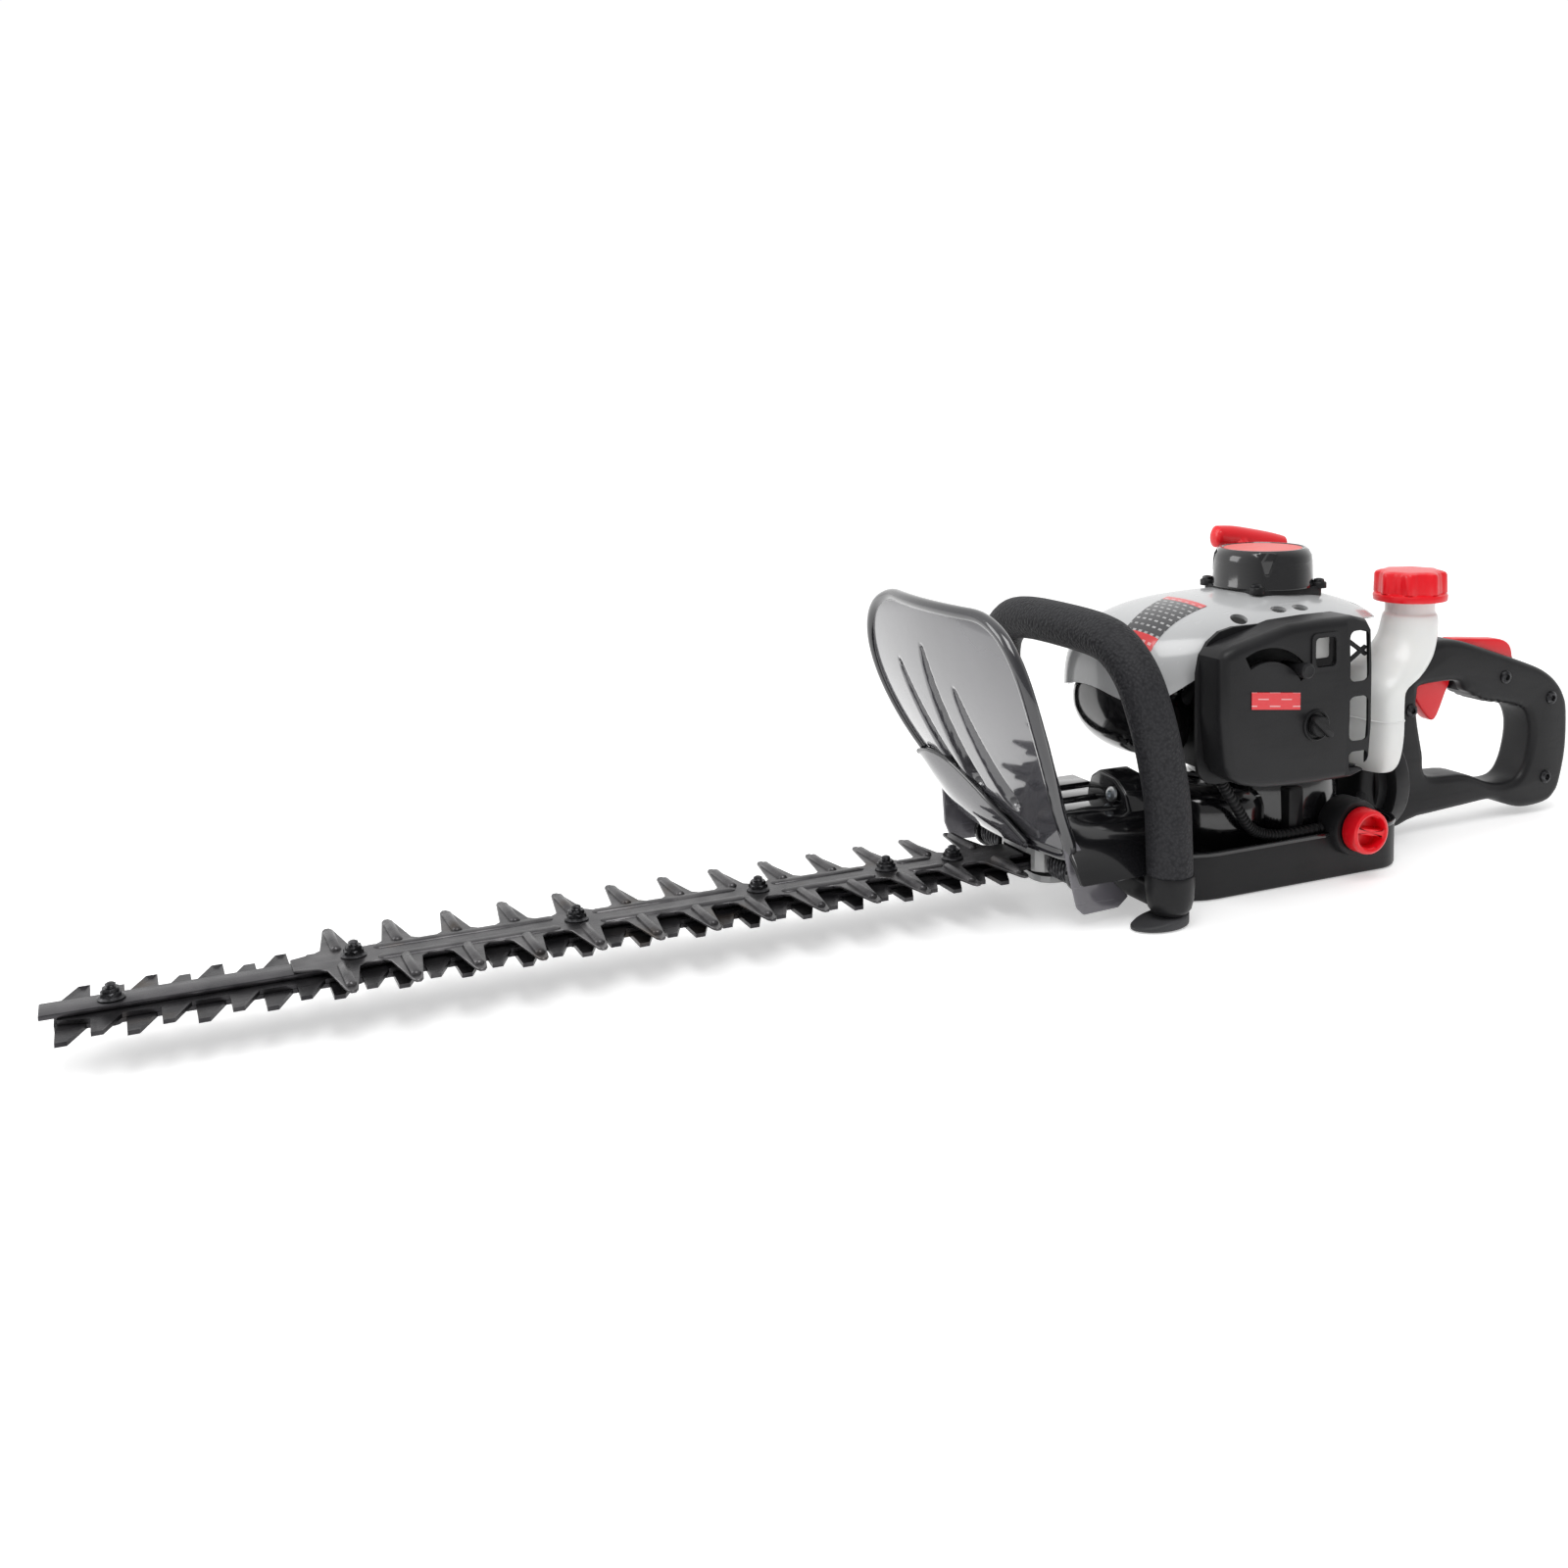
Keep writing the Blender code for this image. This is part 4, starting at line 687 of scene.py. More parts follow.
foam = foam_rubber("grip_foam")
satin_black = moulding("satin_black", (0.012, 0.012, 0.013), 0.38, 900.0, 0.00006)
dark_rubber = moulding("foot_rubber_dark", (0.045, 0.045, 0.048), 0.55, 1200.0, 0.0001)
settle("grip_sleeve", drawn(grip_path, 0.0147, 36), foam, "foam_grip", "front_handle", sharp=60.0)
cap_profile = mm((0, 6.2), (6.8, 6.2), (11, 8), (13.8, 11.8), (15.2, 18), (15.7, 26), (15.8, 32),
                 (15.3, 33.2), (13, 33.2), (13, 31), (0, 31))
for name, side in (("left", -1), ("right", 1)):
    cap = spun(cap_profile, at=(leg_x, side * leg_y, 0), steps=48)
    dimple = pill((-0.148, side * 0.107, 0.0165), (-0.148, side * 0.107, 0.0255), 0.0052, 0.0052, 20)
    cap = combined(cap, dimple)
    arm = eased(pressed([(-0.161, side * 0.03), (-0.135, side * 0.03), (-0.135, side * 0.088),
                         (-0.161, side * 0.088)][::side], 0.012, 0.029), 0.004, 3)
    settle(f"end_cap_{name}", combined(cap, arm, "UNION"), satin_black, "black_satin",
           f"handle_end_cap_{name}")
    foot_outline = arc(-0.1545, side * leg_y, 0.0205, 0, 11.25, 32, 0.0135)
    foot = eased(pressed(foot_outline, 0.0, 0.0076), 0.0022, 3)
    for corner in foot.verts:
        if corner.co.z > 0.004:
            corner.co.z += 0.18 * (corner.co.x - leg_x)
    settle(f"foot_{name}", foot, dark_rubber, "foot_rubber", f"front_foot_{name}")

# ---------------------------------------------------------------- engine covers
# The glossy grey shroud flows back from a round nose over the whole engine; the black lower front
# closes the nose underneath it. A black plate on top carries the recoil starter.


def skinned(rings, closed=True, capped=True):
    """A skin over cross-sections with the same number of points, each joined to the next."""
    shape = bmesh.new()
    loops = []
    for ring in rings:
        verts = [shape.verts.new(point) for point in ring]
        pairs = list(zip(verts, verts[1:] + verts[:1])) if closed else list(zip(verts, verts[1:]))
        loops.append([shape.edges.new(pair) for pair in pairs])
        if capped and ring in (rings[0], rings[-1]):
            shape.faces.new(verts)
    for a, b in zip(loops, loops[1:]):
        bmesh.ops.bridge_loops(shape, edges=a + b)
    bmesh.ops.recalc_face_normals(shape, faces=shape.faces[:])
    return shape


def squared(angle, power):
    """The cosine and the sine of an angle, pushed out towards a square by a power above 2."""
    return [math.copysign(abs(part) ** (2 / power), part) for part in (math.cos(angle), math.sin(angle))]


def vaulted(x, half, near_low, far_low, top, power=2.4, steps=20):
    """A vaulted cross-section from the near lower edge over the top to the far one."""
    points = []
    for i in range(steps + 1):
        across, up = squared(math.pi * i / steps, power)
        low = near_low + (far_low - near_low) * i / steps
        points.append((x, -half * across, low + (top - low) * up))
    return points


hood_rows = mm((-147.5, 10, 140, 140, 151), (-146.5, 24, 137, 137, 162.5), (-143, 37, 134, 134, 171.5),
               (-134, 50, 132, 130, 179), (-120, 60.5, 142, 129, 186), (-100, 67, 155, 129, 192),
               (-75, 70.5, 164, 126, 195.5), (-40, 71.5, 174, 125, 196.5), (0, 70, 179, 125, 196.5),
               (30, 64, 179, 128, 193), (50, 55, 177.5, 138, 188), (64, 43, 174, 148, 183),
               (74, 28, 170, 156, 178))
hood_cage = skinned([vaulted(*row) for row in hood_rows], closed=False, capped=False)
hood_cage.verts.ensure_lookup_table()
hood_cage.faces.new(hood_cage.verts[:21])
bmesh.ops.recalc_face_normals(hood_cage, faces=hood_cage.faces[:])
hood = refined(hood_cage, 2)
hood_skin = BVHTree.FromBMesh(hood)


def hood_top(x, y, lift=0.0):
    """The point of the shroud's surface under x, y."""
    return hood_skin.ray_cast(Vector((x, y, 0.3)), Vector((0, 0, -1)))[0] + Vector((0, 0, lift))


bmesh.ops.recalc_face_normals(hood, faces=hood.faces[:])
bmesh.ops.solidify(hood, geom=hood.faces[:], thickness=0.0026)
holes = []
for x, y, radius, stretch in ((-0.064, -0.054, 0.0058, 1.0), (-0.029, -0.0515, 0.0046, 1.3),
                              (-0.011, -0.052, 0.0046, 1.3), (0.056, -0.033, 0.0022, 3.0)):
    spot, normal = hood_skin.ray_cast(Vector((x, y, 0.3)), Vector((0, 0, -1)))[:2]
    hole = spun([(0, -0.01), (radius, -0.01), (radius, 0.01), (0, 0.01)], steps=28)
    bmesh.ops.scale(hole, verts=hole.verts[:], vec=(stretch, 1, 1))
    turn = Vector((0, 0, 1)).rotation_difference(normal if normal.z > 0 else -normal).to_matrix().to_4x4()
    bmesh.ops.transform(hole, matrix=Matrix.Translation(spot) @ turn, verts=hole.verts[:])
    holes.append(hole)
grey_shell = moulding("grey_shell", (0.44, 0.445, 0.45), 0.2, 260.0, 0.00002, coat=0.35, tint=0.03)
settle("shroud_shell", combined(hood, gathered(holes)), grey_shell, "grey_gloss", "shroud_upper",
       sharp=50.0)


def rounded_ring(x, half, low, top, power=2.5, steps=28):
    """A closed rounded cross-section at x."""
    ring = []
    for i in range(steps):
        across, up = squared(2 * math.pi * i / steps, power)
        ring.append((x, half * across, (low + top) / 2 + up * (top - low) / 2))
    return ring


chin_rows = mm((-146, 8, 130, 141), (-144.8, 20, 121.5, 142), (-140.5, 31, 109, 143),
               (-131, 38.5, 96.5, 143), (-118, 41.5, 89, 145), (-99, 43, 86.5, 147), (-88, 43, 86.5, 147))
settle("chin_cover", refined(skinned([rounded_ring(*row) for row in chin_rows]), 1), black_shell,
       "black_gloss", "shroud_lower_front", sharp=60.0)


def rounded_rectangle(x_low, x_high, y_low, y_high, corner, steps):
    """A rectangle's outline with round corners."""
    outline = []
    for x, y, start in ((x_high - corner, y_high - corner, 0), (x_low + corner, y_high - corner, 90),
                        (x_low + corner, y_low + corner, 180), (x_high - corner, y_low + corner, 270)):
        outline += arc(x, y, corner, start, 90 / steps, steps + 1)
    return outline


plate_outline = rounded_rectangle(-0.03, 0.03, -0.03, 0.03, 0.006, 5)
foot_plate = eased(pressed(plate_outline, 0.189, 0.1978), 0.0008)
settle("starter_foot_plate", foot_plate, satin_black, "black_satin")
for number, (x, y) in enumerate(((-0.027, 0.027), (0.027, -0.027), (-0.027, -0.027), (0.027, 0.027)), 1):
    lug = mm((0, 196), (5.2, 196), (5.2, 199.5), (4.6, 200.3), (0, 200.3))
    head = mm((0, 200), (3.6, 200), (3.8, 200.6), (3.4, 202.2), (2.2, 202.6), (2, 201.2), (0, 201.2))
    settle(f"starter_lug_{number}", spun(lug, at=(x, y, 0), steps=24), satin_black, "black_satin")
    settle(f"starter_screw_{number}", spun(head, at=(x, y, 0), steps=24), bolt_finish, "dark_bolt")


def draped(corners, along_steps, across_steps, surface, lift, thickness):
    """A thin sheet between four x, y corners, laid on a surface; its UV runs 0 to 1 both ways."""
    sheet = bmesh.new()
    bmesh.ops.create_grid(sheet, x_segments=along_steps, y_segments=across_steps, size=0.5, calc_uvs=True)
    layer = sheet.loops.layers.uv.verify()
    a, b, c, d = (Vector(corner) for corner in corners)
    shares = {v: (v.co.x + 0.5, v.co.y + 0.5) for v in sheet.verts}
    for face in sheet.faces:
        for loop in face.loops:
            loop[layer].uv = shares[loop.vert]
    for v, (u, w) in shares.items():
        spot = a.lerp(b, u).lerp(d.lerp(c, u), w)
        v.co = surface(spot.x, spot.y, lift)
    bmesh.ops.recalc_face_normals(sheet, faces=sheet.faces[:])
    bmesh.ops.solidify(sheet, geom=sheet.faces[:], thickness=thickness)
    return sheet


def printed_label(name, field, band, mark, marks, gap):
    """A varnished label: coloured bands at both ends and rows of pale marks on the field between them."""
    made, tree, shader, _ = finish(name, field, 0.25, coat=0.5)
    uv = tree.nodes.new("ShaderNodeTexCoord").outputs["UV"]
    split = tree.nodes.new("ShaderNodeSeparateXYZ")
    tree.links.new(uv, split.inputs["Vector"])
    bands = shades(tree, split.outputs["Y"], (0.0, band), (0.13, field), (0.88, band))
    tree.nodes[-1].color_ramp.interpolation = "CONSTANT"
    mapping = tree.nodes.new("ShaderNodeMapping")
    mapping.inputs["Scale"].default_value = (*marks, 1.0)
    tree.links.new(uv, mapping.inputs["Vector"])
    bricks = tree.nodes.new("ShaderNodeTexBrick")
    for socket, value in (("Scale", 1.0), ("Mortar Size", gap), ("Bias", -0.3), ("Brick Width", 0.38),
                          ("Color1", (1, 1, 1, 1)), ("Color2", (0.4, 0.4, 0.4, 1)),
                          ("Mortar", (0, 0, 0, 1))):
        bricks.inputs[socket].default_value = value
    tree.links.new(mapping.outputs["Vector"], bricks.inputs["Vector"])
    share = spread(tree, bricks.outputs["Color"], 0.0, 1.0, 0.0, 0.5)
    tree.links.new(tinted(tree, bands, share, mark), shader.inputs["Base Color"])
    return made


label_paint = printed_label("warning_label", (0.035, 0.035, 0.038), (0.6, 0.015, 0.02), (0.72, 0.72, 0.72),
                            marks=(2.2, 2.6), gap=0.095)
label_corners = ((-0.1375, -0.022), (-0.1275, -0.044), (-0.074, -0.033), (-0.08, 0.002))
settle("shroud_label", draped(label_corners, 24, 30, hood_top, 0.0005, 0.0003), label_paint, "black_satin",
       sharp=60.0)

# ---------------------------------------------------------------- recoil starter
# A glossy black can with straight walls and four notches in its top rim, with a round red label on
# it. The rope leaves it at the back and ends in a red handle with a drooping right end.

can = spun(mm((0, 197.5), (35.2, 197.5), (35.2, 199), (34.5, 200.5), (34, 215), (33.4, 219.5),
              (31.6, 222.8), (29.4, 224.3), (28.5, 224.3), (28, 223.6), (0, 223.6)), steps=96)
notches = []
for angle in (236, 56, 146, 326):
    wedge = pressed(mm((-8.5, 226.5), (-4, 216.5), (-1.2, 208), (1.2, 208), (4, 216.5), (8.5, 226.5)),
                    0.0312, 0.04, upright=True)
    bmesh.ops.rotate(wedge, verts=wedge.verts[:], cent=(0, 0, 0),
                     matrix=Matrix.Rotation(math.radians(angle - 90), 3, "Z"))
    notches.append(wedge)
can = combined(can, gathered(notches))
settle("starter_can", can, black_shell, "black_gloss", "recoil_housing", sharp=32.0)
red_plastic = moulding("red_plastic", (0.74, 0.004, 0.012), 0.28, 160.0, 0.00001, tint=0.05)
pink_label = moulding("red_label", (0.7, 0.1, 0.09), 0.35, 300.0, 0.00002, tint=0.08)
settle("starter_label", spun(mm((0, 223.5), (26.8, 223.5), (26.8, 223.9), (0, 223.9)), steps=64),
       pink_label, "red_plastic")
recoat(satin_black, "recoil_reel")

grip_line = through(mm((4, 60, 226.2), (20, 60, 224), (37, 60, 220.5), (54, 60, 217.2), (69, 60, 214.2)), 8)
grip_steps = len(grip_line) - 1
grip_swell = [math.sin(math.pi * (0.1 + 0.8 * i / grip_steps)) for i in range(grip_steps + 1)]
grip_scales = [0.62 + 0.38 * swell ** 0.5 for swell in grip_swell]
grip_scales[0], grip_scales[-1] = 0.5, 0.5
pull = drawn(grip_line, 0.0094, 24, scales=grip_scales)
for corner in pull.verts:
    corner.co.y = 0.06 + (corner.co.y - 0.06) * 0.82
stem = spun(mm((0, 0), (4.2, 0), (5.2, 3), (7, 12), (0, 12)), at=(0.023, 0.046, 0.212),
            axis=(0.2, 0.8, 0.45), steps=24)
settle("starter_pull", combined(pull, stem, "UNION"), red_plastic, "red_plastic", "starter_grip",
       body="starter_grip", sharp=50.0)


def braid(name):
    """Pale braided cord."""
    made, tree, shader, place = finish(name, (0.62, 0.6, 0.54), 0.85)
    strands = cloud(tree, place, 900.0, 2.0, (1.0, 0.4, 1.0))
    tree.links.new(shades(tree, strands, (0.35, (0.42, 0.4, 0.35)), (0.65, (0.7, 0.68, 0.62))),
                   shader.inputs["Base Color"])
    emboss(tree, shader, strands, 0.0003)
    return made


rope_line = through(mm((22.8, 20, 211.2), (22.8, 30, 211.2), (22.8, 40, 211.2), (23, 50, 212.5)), 6)
rope_shape = drawn(rope_line, 0.0014, 12)
rope_mesh = bpy.data.meshes.new("starter_cord")
rope_shape.to_mesh(rope_mesh)
rope_shape.free()
rope_mesh.materials.append(braid("rope_braid"))
rope_mesh.shade_smooth()
rope = bpy.data.objects.new("starter_cord", rope_mesh)
bpy.context.scene.collection.objects.link(rope)
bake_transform(rope)
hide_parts("starter_rope")

# ---------------------------------------------------------------- air filter
# A satin black cover with a rounded rim stands off the near side of the engine. Its rear part is a
# stepped grille with rounded windows; the choke lever comes out through a curved slot, and a thumb
# screw with a bar holds the cover on.

cover_outline = mm((-113, 169), (-109, 173.5), (-100, 176.8), (-58, 186.8), (-30, 188), (-5, 188), (6, 185),
                   (10.5, 178), (11.8, 152), (11.8, 113), (10, 92), (5, 82.5), (-5, 79.5), (-40, 79),
                   (-80, 81.2), (-95, 85), (-104, 90.5), (-109.5, 99), (-113.3, 130))


def shrunk(outline, wall):
    """An outline moved inwards all round."""
    middle = sum((Vector(p) for p in outline), Vector((0, 0))) / len(outline)
    size = max((Vector(p) - middle).length for p in outline)
    return [tuple(middle + (Vector(p) - middle) * (1 - wall / size * 1.15)) for p in outline]


def rounded_box(x_low, x_high, z_low, z_high, corner, y_low, y_high):
    """An upright block whose outline in x, z has rounded corners."""
    return pressed(rounded_rectangle(x_low, x_high, z_low, z_high, corner, 4), y_low, y_high, upright=True)


cover_face = -0.0995
screw_x, screw_z = -0.038, 0.119
cover = pressed(cover_outline, cover_face, -0.0745, upright=True)
front_rim = [e for e in cover.edges if all(abs(v.co.y - cover_face) < 1e-5 for v in e.verts)]
bmesh.ops.bevel(cover, geom=front_rim, offset=0.0065, segments=5, profile=0.5, affect="EDGES", material=-1)
cover = combined(cover, pressed(shrunk(cover_outline, 0.0028), cover_face + 0.0028, -0.07, upright=True))
cover = combined(cover, rounded_box(-0.0125, 0.03, 0.07, 0.2, 0.004, -0.102, cover_face + 0.0018))
choke_x, choke_z, choke_radius = -0.0765, 0.1345, 0.034
slot_outline = (arc(choke_x, choke_z, choke_radius + 0.005, 30, 7.4, 13)
                + arc(choke_x, choke_z, choke_radius - 0.0042, 118.8, -7.4, 13))
cutters = [pressed(slot_outline, -0.105, -0.093, upright=True),
           rounded_box(-0.0395, -0.0225, 0.157, 0.1765, 0.003, -0.105, -0.09),
           rounded_box(-0.0085, 0.0075, 0.144, 0.178, 0.0045, -0.105, -0.088),
           rounded_box(-0.0085, 0.0075, 0.104, 0.134, 0.0045, -0.105, -0.088),
           rounded_box(-0.0085, 0.0075, 0.0835, 0.097, 0.0035, -0.105, -0.088),
           spun(mm((0, 90), (3.6, 90), (3.6, 105), (0, 105)), at=(screw_x, 0, screw_z), axis=(0, -1, 0),
                steps=20)]
for cutter in cutters:
    cover = combined(cover, cutter)
cover = combined(cover, rounded_box(-0.006, 0.03, 0.085, 0.176, 0.004, -0.094, -0.076))
settle("filter_cover", cover, satin_black, "black_satin", "air_filter_cover", sharp=32.0)
screw_ring = spun(mm((8.6, 0), (8.8, 1.2), (9.6, 1.6), (10.4, 1.2), (10.6, 0), (8.6, 0)),
                  at=(screw_x, cover_face, screw_z), axis=(0, -1, 0), steps=48)
settle("filter_screw_ring", screw_ring, satin_black, "black_satin")
frame_outer = rounded_box(-0.0425, -0.0195, 0.154, 0.1795, 0.004, cover_face - 0.0011, cover_face + 0.001)
settle("filter_window_frame", combined(frame_outer, rounded_box(-0.0395, -0.0225, 0.157, 0.1765, 0.003,
        -0.11, -0.09)), satin_black, "black_satin")
pale_plastic = moulding("pale_plastic", (0.55, 0.55, 0.54), 0.4, 500.0, 0.00004, tint=0.08)
settle("filter_window_tile", eased(rounded_box(-0.0372, -0.0225, 0.1615, 0.1765, 0.002, -0.0935, -0.092),
        0.0003), pale_plastic, "white_tank")
bars = []
for start, end in (((-0.008, 0.172), (0.008, 0.161)), ((-0.008, 0.156), (0.008, 0.166))):
    bars.append(drawn([(start[0], -0.0935, start[1]), (end[0], -0.0935, end[1])], 0.0016, 10))
settle("filter_grille_bars", gathered(bars), satin_black, "black_satin")

decal_paint = printed_label("choke_label", (0.66, 0.006, 0.014), (0.66, 0.006, 0.014), (0.8, 0.74, 0.74),
                            marks=(0.8, 0.62), gap=0.11)
decal_corners = ((-0.0905, 0.135), (-0.0515, 0.1308), (-0.0515, 0.142), (-0.0905, 0.1462))
settle("filter_label", draped(decal_corners, 6, 4, lambda x, z, lift: Vector((x, cover_face - lift, z)),
                              0.0004, -0.0003), decal_paint, "red_plastic")

recoat(satin_black, "air_filter_base")
recoat(foam_rubber("filter_foam_cells"), "air_filter_element")

rest = math.radians(42)
tip = (choke_x + choke_radius * math.cos(rest), choke_z + choke_radius * math.sin(rest))
hub = spun(mm((0, 77), (6, 77), (6, 86.8), (5.2, 87.8), (0, 87.8)), at=(choke_x, 0, choke_z),
           axis=(0, -1, 0), steps=32)
arm = pill((choke_x, -0.0842, choke_z), (tip[0], -0.0842, tip[1]), 0.0034, 0.0034, 16)
tab = spun(mm((0, 84.5), (3.6, 84.5), (3.6, 98.5), (4.6, 101.5), (5.4, 105), (5.2, 107), (3.8, 108),
              (0, 107.6)), at=(tip[0], 0, tip[1]), axis=(0, -1, 0), steps=32)
settle("choke_stub", combined(combined(hub, arm, "UNION"), tab, "UNION"), satin_black, "black_satin",
       "choke_lever", body="choke_lever")

knob = spun(mm((0, 79), (2.9, 79), (2.9, 100.3), (6.6, 100.3), (7, 101), (7, 104), (6.2, 105.2),
               (0, 105.2)), at=(screw_x, 0, screw_z), axis=(0, -1, 0), steps=40)
bar = eased(rounded_box(-0.01, 0.01, -0.0023, 0.0023, 0.002, -0.1078, -0.1035), 0.0008, 2)
bmesh.ops.rotate(bar, verts=bar.verts[:], cent=(0, 0, 0), matrix=Matrix.Rotation(math.radians(42), 3, "Y"))
bmesh.ops.translate(bar, verts=bar.verts[:], vec=(screw_x, 0, screw_z))
settle("filter_screw", combined(knob, bar, "UNION"), satin_black, "black_satin", "filter_cover_knob",
       body="filter_cover_knob")

# ---------------------------------------------------------------- ignition
# A black rubber boot covers the spark plug in front of the cylinder; beside it two clear bullet
# connectors hang on thin red leads, in front of a black cowl. The coil sits under the shroud.

rubber = moulding("black_rubber", (0.011, 0.011, 0.012), 0.46, 1500.0, 0.00006)
boot_line = through(mm((-92.5, 0, 106), (-101, -6, 106.5), (-103.5, -20, 113), (-98, -33, 126),
                       (-86, -40, 140)), 6)
boot_scales = [1.0 - 0.55 * i / (len(boot_line) - 1) for i in range(len(boot_line))]
settle("plug_cover", drawn(boot_line, 0.0098, 20, scales=boot_scales), rubber, "black_satin", "plug_boot")
cowl = rounded_box(-0.0905, -0.064, 0.085, 0.153, 0.006, -0.07, -0.058)
settle("cylinder_cowl", eased(cowl, 0.003, 3), satin_black, "black_satin")
cowl_front = mm((-70, 84), (-12, 84), (-12, 98), (-30, 120), (-30, 150), (-70, 150))
settle("cylinder_baffle", eased(prism(cowl_front, -0.0888, -0.0862), 0.0008), satin_black, "black_satin")


def clear_sleeve(name):
    """Clear soft vinyl, slightly yellowed."""
    made, tree, shader, place = finish(name, (0.8, 0.78, 0.74), 0.15)
    shader.inputs["Transmission Weight"].default_value = 0.75
    shader.inputs["IOR"].default_value = 1.3
    emboss(tree, shader, cloud(tree, place, 600.0), 0.0003)
    return made


vinyl = clear_sleeve("clear_vinyl")
lead_red = moulding("lead_red", (0.55, 0.02, 0.02), 0.4, 1500.0, 0.00002)
for number, y in ((1, -0.066), (2, -0.059)):
    x = -0.0975 + 0.0035 * number
    sleeve = mm((1, 104), (3, 105), (3.6, 108), (3.6, 118), (2.9, 119.5), (3.6, 121), (3.6, 130), (3, 134),
                (1.6, 136.5), (1, 136.5), (1, 104))
    settle(f"lead_sleeve_{number}", spun(sleeve, at=(x, y, 0), steps=24), vinyl, "white_tank")
    lead = through([(x + 0.006, y + 0.004, 0.15), (x, y, 0.138), (x, y, 0.12), (x, y, 0.102),
                    (x + 0.003, y + 0.002, 0.092), (x + 0.008, y + 0.004, 0.084)], 6)
    settle(f"lead_{number}", drawn(lead, 0.0009, 10), lead_red, "red_plastic")
recoat(moulding("glazed_ceramic", (0.8, 0.8, 0.76), 0.12, 900.0, 0.00001, coat=0.5, tint=0.04),
       "spark_plug")
recoat(rubber, "ignition_coil")

# ---------------------------------------------------------------- fuel tank
# Milky blow-moulded plastic with a weld seam round it; the filler neck stands at its rear corner
# and is closed by a red cap with finger lobes over a wide flange.

milky = toned("milky_plastic", (0.8, 0.8, 0.78), 0.28, 0.0, (14.0,), (0.3, (0.74, 0.75, 0.74)),
              (0.7, (0.84, 0.84, 0.82)), (260.0, 2.0), 0.00008)
milky_shader = milky.node_tree.nodes["Principled BSDF"]
milky_shader.inputs["Subsurface Weight"].default_value = 0.35
milky_shader.inputs["Subsurface Radius"].default_value = (0.01, 0.01, 0.009)
cap_x, cap_y = 0.106, -0.032
tank_rows = ((0.0622, 0.0692, -0.0045, 0.0085, 0.042, 3.0), (0.064, 0.0692, -0.0045, 0.0118, 0.048, 3.0),
             (0.072, 0.0692, -0.0045, 0.014, 0.053, 3.2), (0.09, 0.0694, -0.0045, 0.0149, 0.056, 3.2),
             (0.112, 0.0694, -0.0045, 0.015, 0.056, 3.2), (0.1225, 0.0712, -0.01, 0.0168, 0.0505, 2.8),
             (0.13, 0.08, -0.022, 0.0225, 0.0385, 2.4), (0.137, 0.089, -0.029, 0.024, 0.0295, 2.1),
             (0.145, 0.0975, -0.0315, 0.0225, 0.024, 2.0), (0.156, 0.1035, -0.032, 0.0205, 0.0208, 2.0),
             (0.165, 0.1055, -0.032, 0.0197, 0.0197, 2.0), (0.1712, 0.106, -0.032, 0.0186, 0.0186, 2.0),
             (0.1735, 0.106, -0.032, 0.0172, 0.0172, 2.0), (0.1812, 0.106, -0.032, 0.017, 0.017, 2.0))
tank_rings = []
for z, x, y, radius_x, radius_y, power in through(tank_rows, 4):
    ring = []
    for i in range(56):
        side_x, side_y = squared(2 * math.pi * i / 56, power)
        ring.append((x + radius_x * side_x, y + radius_y * side_y, z))
    tank_rings.append(ring)
tank = skinned(tank_rings)
swivel_height = 0.047
relief = spun(mm((0, 75.5), (43, 75.5), (43, 112), (0, 112)), at=(0, 0, swivel_height), axis=(1, 0, 0),
              steps=64)
tank = combined(tank, relief)
settle("tank_shell", tank, milky, "white_tank", "fuel_tank", sharp=45.0)
seam_line = []
for i in range(56):
    side_x, side_y = squared(2 * math.pi * i / 56, 3.2)
    seam_line.append((0.0694 + 0.015 * side_x, -0.0045 + 0.056 * side_y, 0.101))
settle("tank_seam", drawn(seam_line, 0.0007, 8, closed=True), milky, "white_tank")

cap_rings = []
for z, flange, lobe in mm((181.7, 23.5, 0), (182.1, 25.2, 0), (185.5, 25.5, 0), (186.6, 25, 0),
                          (187.2, 24, 0), (187.8, 23.2, 1.8), (200.5, 22.6, 2), (202.2, 21.8, 1.8),
                          (203.2, 20, 1.2), (203.5, 16, 0.4)):
    ring = []
    for i in range(128):
        angle = 2 * math.pi * i / 128
        radius = flange + lobe * max(-0.5, math.cos(8 * angle))
        ring.append((cap_x + radius * math.cos(angle), cap_y + radius * math.sin(angle), z))
    cap_rings.append(ring)
settle("tank_cap", skinned(cap_rings), red_plastic, "red_plastic", "fuel_cap", body="fuel_cap", sharp=30.0)

# ---------------------------------------------------------------- clutch housing and base
# The glossy clutch dome rises out of a deep black tray with a bright lip. The tray's rounded rear
# corner carries the seat of the red release knob; a pillar behind holds the swivel of the handle.

dome = spun(mm((44, 34), (53, 34), (52.8, 45), (52.2, 59), (51.2, 66), (49, 71.5), (44, 76.5), (37, 80),
               (29, 81.8), (20, 82), (20, 79), (37, 77), (47, 69), (48, 60), (48, 36), (44, 36), (44, 34)),
            steps=96)
gear_dome = spun(mm((42, 23), (46.2, 23), (46.8, 26), (46.6, 50), (45, 56), (41.5, 60.5), (35, 63.2),
                    (24, 64.5), (12, 65), (12, 63.5), (35, 61.5), (44, 52), (44.5, 25), (42, 25), (42, 23)),
                 at=(-0.052, 0, 0), steps=96)
settle("gear_dome", gear_dome, black_shell, "black_gloss", sharp=50.0)
settle("clutch_dome", dome, black_shell, "black_gloss", "clutch_housing", sharp=50.0)


